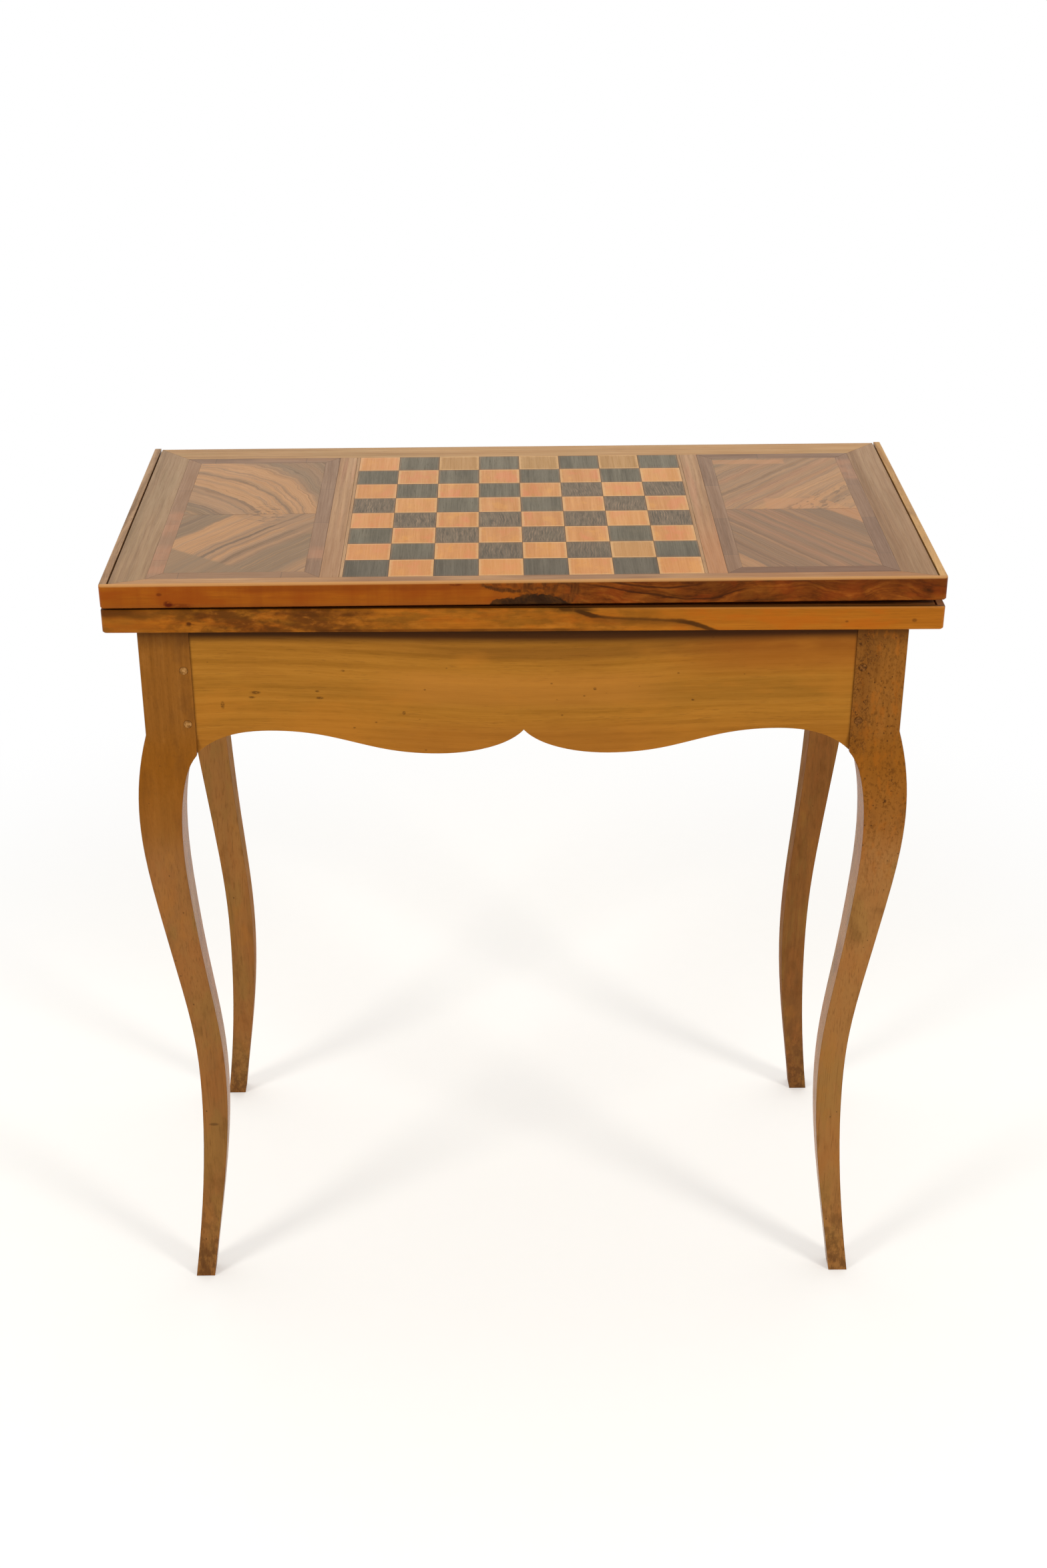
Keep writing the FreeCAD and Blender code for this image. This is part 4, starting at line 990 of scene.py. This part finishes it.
def half_panel(f, outward, off_split, rise, bow, fan, stops, seed, lively):
    """Colour and relief of one slanted veneer; rise, bow and fan set how its figure climbs."""
    drift = f.cloud(outward * 26, off_split * 26, seed, 3, 0.5)
    waver = f.cloud(outward * 90, off_split * 90, seed + 3, 3, 0.6)
    level = off_split + outward * rise + outward * outward * bow + off_split * outward * fan
    level = level + (drift - 0.5) * (0.016 * lively) + (waver - 0.5) * 0.006
    broad = f.ramp(level / FIGURE_REACH, [(at / 1000 / FIGURE_REACH, *seen) for at, seen in stops])
    streak = f.cloud(outward * 9, level * 230, seed, 5, 0.62)
    thread = f.cloud(outward * 13, level * 620, seed + 9, 3, 0.6)
    fibre = f.cloud(outward * 40, level * 1500, seed, 2)
    f.colour = f.blend(f.span(streak, 0.51, 0.66, 0.0, 0.34), broad, LINE)
    f.tint(streak, 0.46, 0.30, 0.45, (182, 134, 82))
    f.tint(thread, 0.55, 0.64, 0.42, (88, 58, 32))
    f.tint(thread, 0.44, 0.36, 0.3, (188, 140, 88))
    f.stain(f.span(fibre, 0.35, 0.65, 0.2, 0.0), (84, 56, 32))
    return f.colour, streak * 0.5 + fibre * 0.5


def panel(name, seed, front, back, lively):
    f = Finish(name)
    outward = PANEL_OUTER - abs(f.x)
    off_split = abs(f.y - PANEL_SPLIT)
    is_front = f.calc("LESS_THAN", f.y, PANEL_SPLIT)
    front_colour, front_relief = half_panel(f, outward, off_split, *front, seed, lively)
    back_colour, back_relief = half_panel(f, outward, off_split, *back, seed + 5, lively)
    f.colour = f.blend(is_front, back_colour, front_colour)
    f.relief = front_relief * is_front + back_relief * (1.0 - is_front)
    return f, outward, off_split, is_front


def seam_and_polish(f, off_split):
    f.stain(f.span(off_split, 0.0002, 0.0006, 0.3, 0.0), LINE)
    return spirit_polish(f)


def left_panel():
    f, outward, off_split, is_front = panel("left_panel_walnut", 2.7, LEFT_FRONT, LEFT_BACK, 1.0)
    past_block = outward - off_split * 1.5
    f.stain(is_front * f.span(past_block, 0.036, 0.048, 0.0, 0.5), BROWN)
    end_grain = off_split - outward * 0.75
    f.stain(is_front * f.span(end_grain, 0.081, 0.087, 0.0, 0.8), DUSK)
    whirl = f.spot(f.x, f.y, KNOT, (0.016, 0.024))
    twist = f.haze(40, 55, 2.7, 4, 0.6)
    eye = f.length((f.x - KNOT[0]) * 0.7, f.y - KNOT[1]) + (twist - 0.5) * 0.034
    rings = f.sine(eye * (math.tau / KNOT_RING))
    broken = f.haze(120, 150, 5.0, 3)
    f.stain(whirl * f.span(rings, 0.4, 0.95) * f.span(broken, 0.36, 0.56) * 0.6, (84, 56, 32))
    f.stain(whirl * f.span(rings, -0.4, -0.95) * 0.35, PALE)
    return seam_and_polish(f, off_split)


def right_panel():
    f, outward, off_split, is_front = panel("right_panel_walnut", 12.4, RIGHT_FRONT, RIGHT_BACK, 0.6)
    is_back = 1.0 - is_front
    bar = f.near(off_split, 0.131, 0.0055, 0.001) * f.span(outward, 0.050, 0.053) * 0.6
    patch = f.span(off_split, 0.030, 0.026) * f.near(outward, 0.060, 0.021, 0.004) * 0.6
    f.stain(is_back * f.most(bar, patch), (176, 118, 70))
    flecks = f.cloud(outward * 120, (off_split + outward * 1.2) * 120, 3.0, 4, 0.65)
    down = f.y + (f.x - 0.285) * 1.1 + (flecks - 0.5) * 0.008
    gold = f.near(down, -0.002, 0.013, 0.0025) * f.span(f.x, 0.262, 0.274) * 0.6
    f.stain(gold, (176, 118, 64))
    f.stain(is_front * 0.3, (106, 60, 32))
    speckled = is_back * f.near(off_split + outward, 0.045, 0.018, 0.014)
    f.stain(speckled * f.span(flecks, 0.52, 0.62, 0.0, 0.6), (88, 60, 34))
    return seam_and_polish(f, off_split)


dress(left_panel(), "panel_front_left", "panel_back_left")
dress(right_panel(), "panel_front_right", "panel_back_right")


# ---- Strips beside the board ----
# A straight-grained strip fills the room between each frame and the board, and a thin
# light stringing divides it from the squares.
def flank_strip():
    stops = [(0.0, 98, 62, 30), (0.28, 134, 92, 50), (0.52, 153, 108, 64), (0.78, 168, 124, 78),
             (1.0, 188, 148, 102)]
    f = veneer("flank_walnut", "y", stops, 6.6, 0.0062, 0.24, 0.4, sway=0.0012, fibres=0.12, pores=0.15)
    rosy = f.haze(120, 6, 2.0, 3)
    f.tint(rosy, 0.5, 0.68, 0.5, (164, 102, 66))
    toward_front = f.span(f.y, 0.02, -0.12, 0.0, 0.35)
    f.stain(toward_front, (132, 82, 42))
    f.stain(toward_front * f.span(f.x, -0.05, 0.05), (190, 112, 44))
    return spirit_polish(f)


def stringing_wood():
    stops = [(0.2, 138, 98, 56), (0.55, 162, 118, 72), (0.9, 184, 142, 96)]
    f = veneer("stringing_wood", "y", stops, 9.9, 0.003, 0.1, 0.25, sway=0.0006, fibres=0.12, pores=0.35)
    return spirit_polish(f)


dress(flank_strip(), "flank_left", "flank_right")
dress(stringing_wood(), "stringing_left", "stringing_right")


# ---- Chess squares ----
# Sixty-four squares of sawn veneer: warm fruitwood against stained, greenish black wood,
# with some of the dark ones patched in striped brown and a few light ones worn dull. Every
# square was cut and laid by itself, so its tone and figure are its own.
SQUARE = 0.0386
BOARD_LEFT = -0.1544
BOARD_FRONT = -0.162
STRIPE = 0.0024


def square_places(f):
    """Each square's own numbers, and the distance from its nearest edges, in metres."""
    column = (f.x - BOARD_LEFT) / SQUARE
    row = (f.y - BOARD_FRONT) / SQUARE
    draws = f.draws(f.calc("FLOOR", column), f.calc("FLOOR", row), 0.5)
    across, deep = [f.calc("FRACT", way) for way in (column, row)]
    side_edge, end_edge = [f.least(part, 1.0 - part) * SQUARE for part in (across, deep)]
    return draws, side_edge, end_edge


def light_square(name, stops, rosy, dull):
    f = Finish(name)
    draws, side_edge, end_edge = square_places(f)
    shift = draws[0] * 9
    f.wood(f.y + shift, f.x, f.z, stops, seed=1.9, sway=0.0012, ring=0.004, rings=0.05, streaks=0.2,
           fibres=0.12, pores=0.08)
    blush = f.cloud(f.x * 50 + shift, f.y * 30, draws[1] * 7, 3, 0.6)
    f.tint(blush, 0.50, 0.66, rosy, (204, 108, 60))
    f.tint(blush, 0.46, 0.34, rosy, (206, 140, 46))
    f.stain(draws[1] * 0.3, (176, 114, 52))
    f.tint(draws[2], 0.6, 1.0, 0.3, (212, 146, 66))
    f.tint(f.y, -0.02, -0.15, 0.22, (206, 124, 34))
    nearest = f.least(side_edge, end_edge)
    ragged = f.haze(220, 220, shift, 2)
    rim = f.span(nearest + (ragged - 0.5) * 0.003, 0.0010, 0.0034, 0.7, 0.0)
    f.stain(rim, (200, 152, 94))
    f.stain(f.span(nearest, 0.0001, 0.0005, 0.3, 0.0), (150, 104, 58))
    f.tint(f.x, -0.114, -0.118, 0.22, (180, 104, 56))
    scratch = f.cloud((f.x + f.y) * 60, (f.x - f.y) * 700, 5.5, 2)
    f.tint(scratch, 0.66, 0.74, dull, (126, 82, 42))
    return spirit_polish(f)


def dark_square(name, stops, striped):
    f = Finish(name)
    draws, side_edge, end_edge = square_places(f)
    shift = draws[0] * 9
    if striped:
        bend = f.haze(45, 60, shift, 3, 0.55)
        skew = f.x + f.y * ((draws[2] - 0.5) * 0.2) + (bend - 0.5) * 0.005
        wave = f.sine(skew * (math.tau / STRIPE))
        dash = f.cloud(skew * 640, f.y * 55, shift, 4, 0.62)
        fine = f.cloud(skew * 1700, f.y * 120, shift, 2)
        broken = f.haze(70, 60, shift + 3.0, 3)
        value = 0.47 + wave * f.span(broken, 0.36, 0.62, 0.02, 0.20) + (dash - 0.5) * 1.3 + (fine - 0.5) * 0.6
        f.colour = f.ramp(value, stops)
        f.relief = dash * 0.6 + fine * 0.4
        f.stain(draws[1] * 0.3, (84, 66, 42))
    else:
        f.wood(f.y + shift, f.x, f.z, stops, seed=7.1, sway=0.001, ring=0.004, rings=0.08, streaks=0.26,
               fibres=0.12, pores=0.2)
        f.stain(draws[1] * 0.4, (60, 56, 40))
    edge_noise = f.haze(130, 60, shift, 2)
    worn_end = f.span(end_edge + (edge_noise - 0.5) * 0.004, 0.0008, 0.0046, 0.7, 0.0)
    f.stain(worn_end, (100, 70, 38))
    worn_side = f.span(side_edge + (edge_noise - 0.5) * 0.002, 0.0005, 0.0022, 0.7, 0.0)
    f.stain(worn_side, (110, 76, 42))
    rubbed = f.haze(26, 26, 8.0, 4, 0.6)
    f.tint(rubbed, 0.48, 0.7, 0.35, (94, 84, 60))
    f.tint(f.y, -0.08, -0.14, 0.5, (46, 38, 26))
    return spirit_polish(f)


LIGHT_STOPS = [(156, 92, 34), (180, 114, 44), (194, 126, 52), (206, 142, 66), (220, 164, 92)]
WORN_STOPS = [(124, 82, 30), (150, 106, 42), (166, 119, 50), (180, 134, 66), (194, 152, 90)]
DARK_STOPS = [(38, 36, 24), (56, 54, 40), (72, 69, 51), (86, 83, 62), (106, 102, 78)]
BROWN_STOPS = [(38, 30, 18), (62, 50, 34), (88, 69, 46), (118, 90, 60), (144, 112, 78)]
dress(light_square("light_square_wood", LIGHT_STOPS, 0.55, 0.3), "squares_light")
dress(light_square("worn_square_wood", WORN_STOPS, 0.0, 0.4), "squares_worn_light")
dress(dark_square("dark_square_wood", DARK_STOPS, False), "squares_dark")
dress(dark_square("striped_square_wood", BROWN_STOPS, True), "squares_brown_dark")


# ---- Studio ----
# A pale paper floor that fades to white, a white backdrop with a dim room in front of it,
# and two broad soft lamps, left and right of the table, that throw short double shadows.
FLOOR_HALF = 14.0
FLOOR_TONE = (252, 249, 243)
FLOOR_WHITE = 0.3
FADE_START = 0.5
FADE_END = 1.3
ROOM_FILL = (0.13, 0.85)
ROOM_CEILING = 0.5
ROOM_GLEAM = (0.2, 1.0)
LOW_GLEAM = (1.9, 0.45)
GLEAM_TINT = (1.0, 0.86, 0.70, 1.0)
LAMPS = [
    ("lamp_left", (-1.75, -1.45, 1.95), 24.0, 0.7),
    ("lamp_right", (2.05, -1.75, 2.05), 35.0, 0.7),
]
LAMP_AIM = (0.0, 0.0, 0.35)
LAMP_TINT = (1.0, 0.985, 0.955)


def paper_floor():
    f = Finish("pale_paper")
    away = f.length(f.x, f.y)
    fade = f.span(away, FADE_START, FADE_END, FLOOR_WHITE, 1.0)
    fleck = f.haze(40, 40, 1.0, 4, 0.6)
    paper = f.blend(f.span(fleck, 0.3, 0.7, 0.0, 0.06), FLOOR_TONE, (240, 236, 226))
    f.set("Base Color", paper)
    f.shader.inputs["Roughness"].default_value = 0.95
    f.shader.inputs["Specular IOR Level"].default_value = 0.0
    white = f.node("ShaderNodeEmission", (1.0, 1.0, 1.0, 1.0), 1.0)
    rays = f.node("ShaderNodeLightPath")
    direct = f.most(f.result(rays, "Is Camera Ray"), f.result(rays, "Is Glossy Ray"))
    mixed = f.node("ShaderNodeMixShader", fade * direct, f.result(f.shader), f.result(white))
    f.feed(f.tree.nodes["Material Output"].inputs["Surface"], f.result(mixed))
    return f.material


def lay_floor():
    mesh = bmesh.new()
    bmesh.ops.create_grid(mesh, x_segments=24, y_segments=24, size=FLOOR_HALF)
    floor = placed("floor", mesh, False, paper_floor())


def hang_lamps():
    for name, place, watts, size in LAMPS:
        lamp = bpy.data.lights.new(name, "AREA")
        lamp.shape = "DISK"
        lamp.size = size
        lamp.energy = watts
        lamp.color = LAMP_TINT
        holder = bpy.data.objects.new(name, lamp)
        holder.location = place
        aim = Vector(LAMP_AIM) - Vector(place)
        holder.rotation_euler = aim.to_track_quat("-Z", "Y").to_euler()
        bpy.context.scene.collection.objects.link(holder)


def white_room():
    """White where it is looked at; dim in front of the table, bright behind it."""
    room = bpy.data.worlds.new("white_room")
    room.use_nodes = True
    net = Net(room.node_tree)

    def straight(value, low, high, start, end):
        return net.result(net.node("ShaderNodeMapRange", value, low, high, start, end))

    def either(share, first, second):
        return net.result(net.node("ShaderNodeMix", share, None, first, second))

    rays = net.node("ShaderNodeLightPath")
    looked_at = net.result(rays, "Is Camera Ray")
    mirrored = net.most(net.result(rays, "Is Glossy Ray"), net.result(rays, "Is Transmission Ray"))
    toward = net.result(net.node("ShaderNodeTexCoord"), "Generated")
    _, ahead, upward = net.parts("ShaderNodeSeparateXYZ", toward)
    behind = net.span(ahead, -0.4, 0.3)
    above = net.span(upward, 0.35, 0.9, 0.0, ROOM_CEILING)
    fill = straight(behind, 0.0, 1.0, *ROOM_FILL) + above
    gleam = straight(behind, 0.0, 1.0, *ROOM_GLEAM) * straight(upward, 0.22, 0.52, *LOW_GLEAM)
    tint = net.node("ShaderNodeMix", mirrored, data_type="RGBA")
    tint.inputs[6].default_value = (1.0, 1.0, 1.0, 1.0)
    tint.inputs[7].default_value = GLEAM_TINT
    background = net.tree.nodes["Background"]
    net.feed(background.inputs["Strength"], either(looked_at, either(mirrored, fill, gleam), 1.0))
    net.feed(background.inputs["Color"], net.result(tint, 2))
    bpy.context.scene.world = room


lay_floor()
hang_lamps()
white_room()
bpy.context.scene.view_settings.view_transform = "Standard"


# ---- Camera ----
# Stands in front of the table at eye height and looks down on the top.
CAMERA_PLACE = (-0.0301, -1.8494, 1.4437)
CAMERA_TURN = 0.0178
CAMERA_DIP = 0.4831
CAMERA_ROLL = 0.0024
CAMERA_LENS = 48.88


def set_camera():
    view = bpy.data.cameras.new("camera")
    view.sensor_width = 36.0
    view.lens = CAMERA_LENS
    stand = bpy.data.objects.new("camera", view)
    turn = Euler((math.pi / 2 - CAMERA_DIP, 0.0, -CAMERA_TURN)).to_matrix()
    turn = turn @ Matrix.Rotation(CAMERA_ROLL, 3, "Z")
    stand.matrix_world = Matrix.Translation(CAMERA_PLACE) @ turn.to_4x4()
    bpy.context.scene.collection.objects.link(stand)
    bpy.context.scene.camera = stand


set_camera()
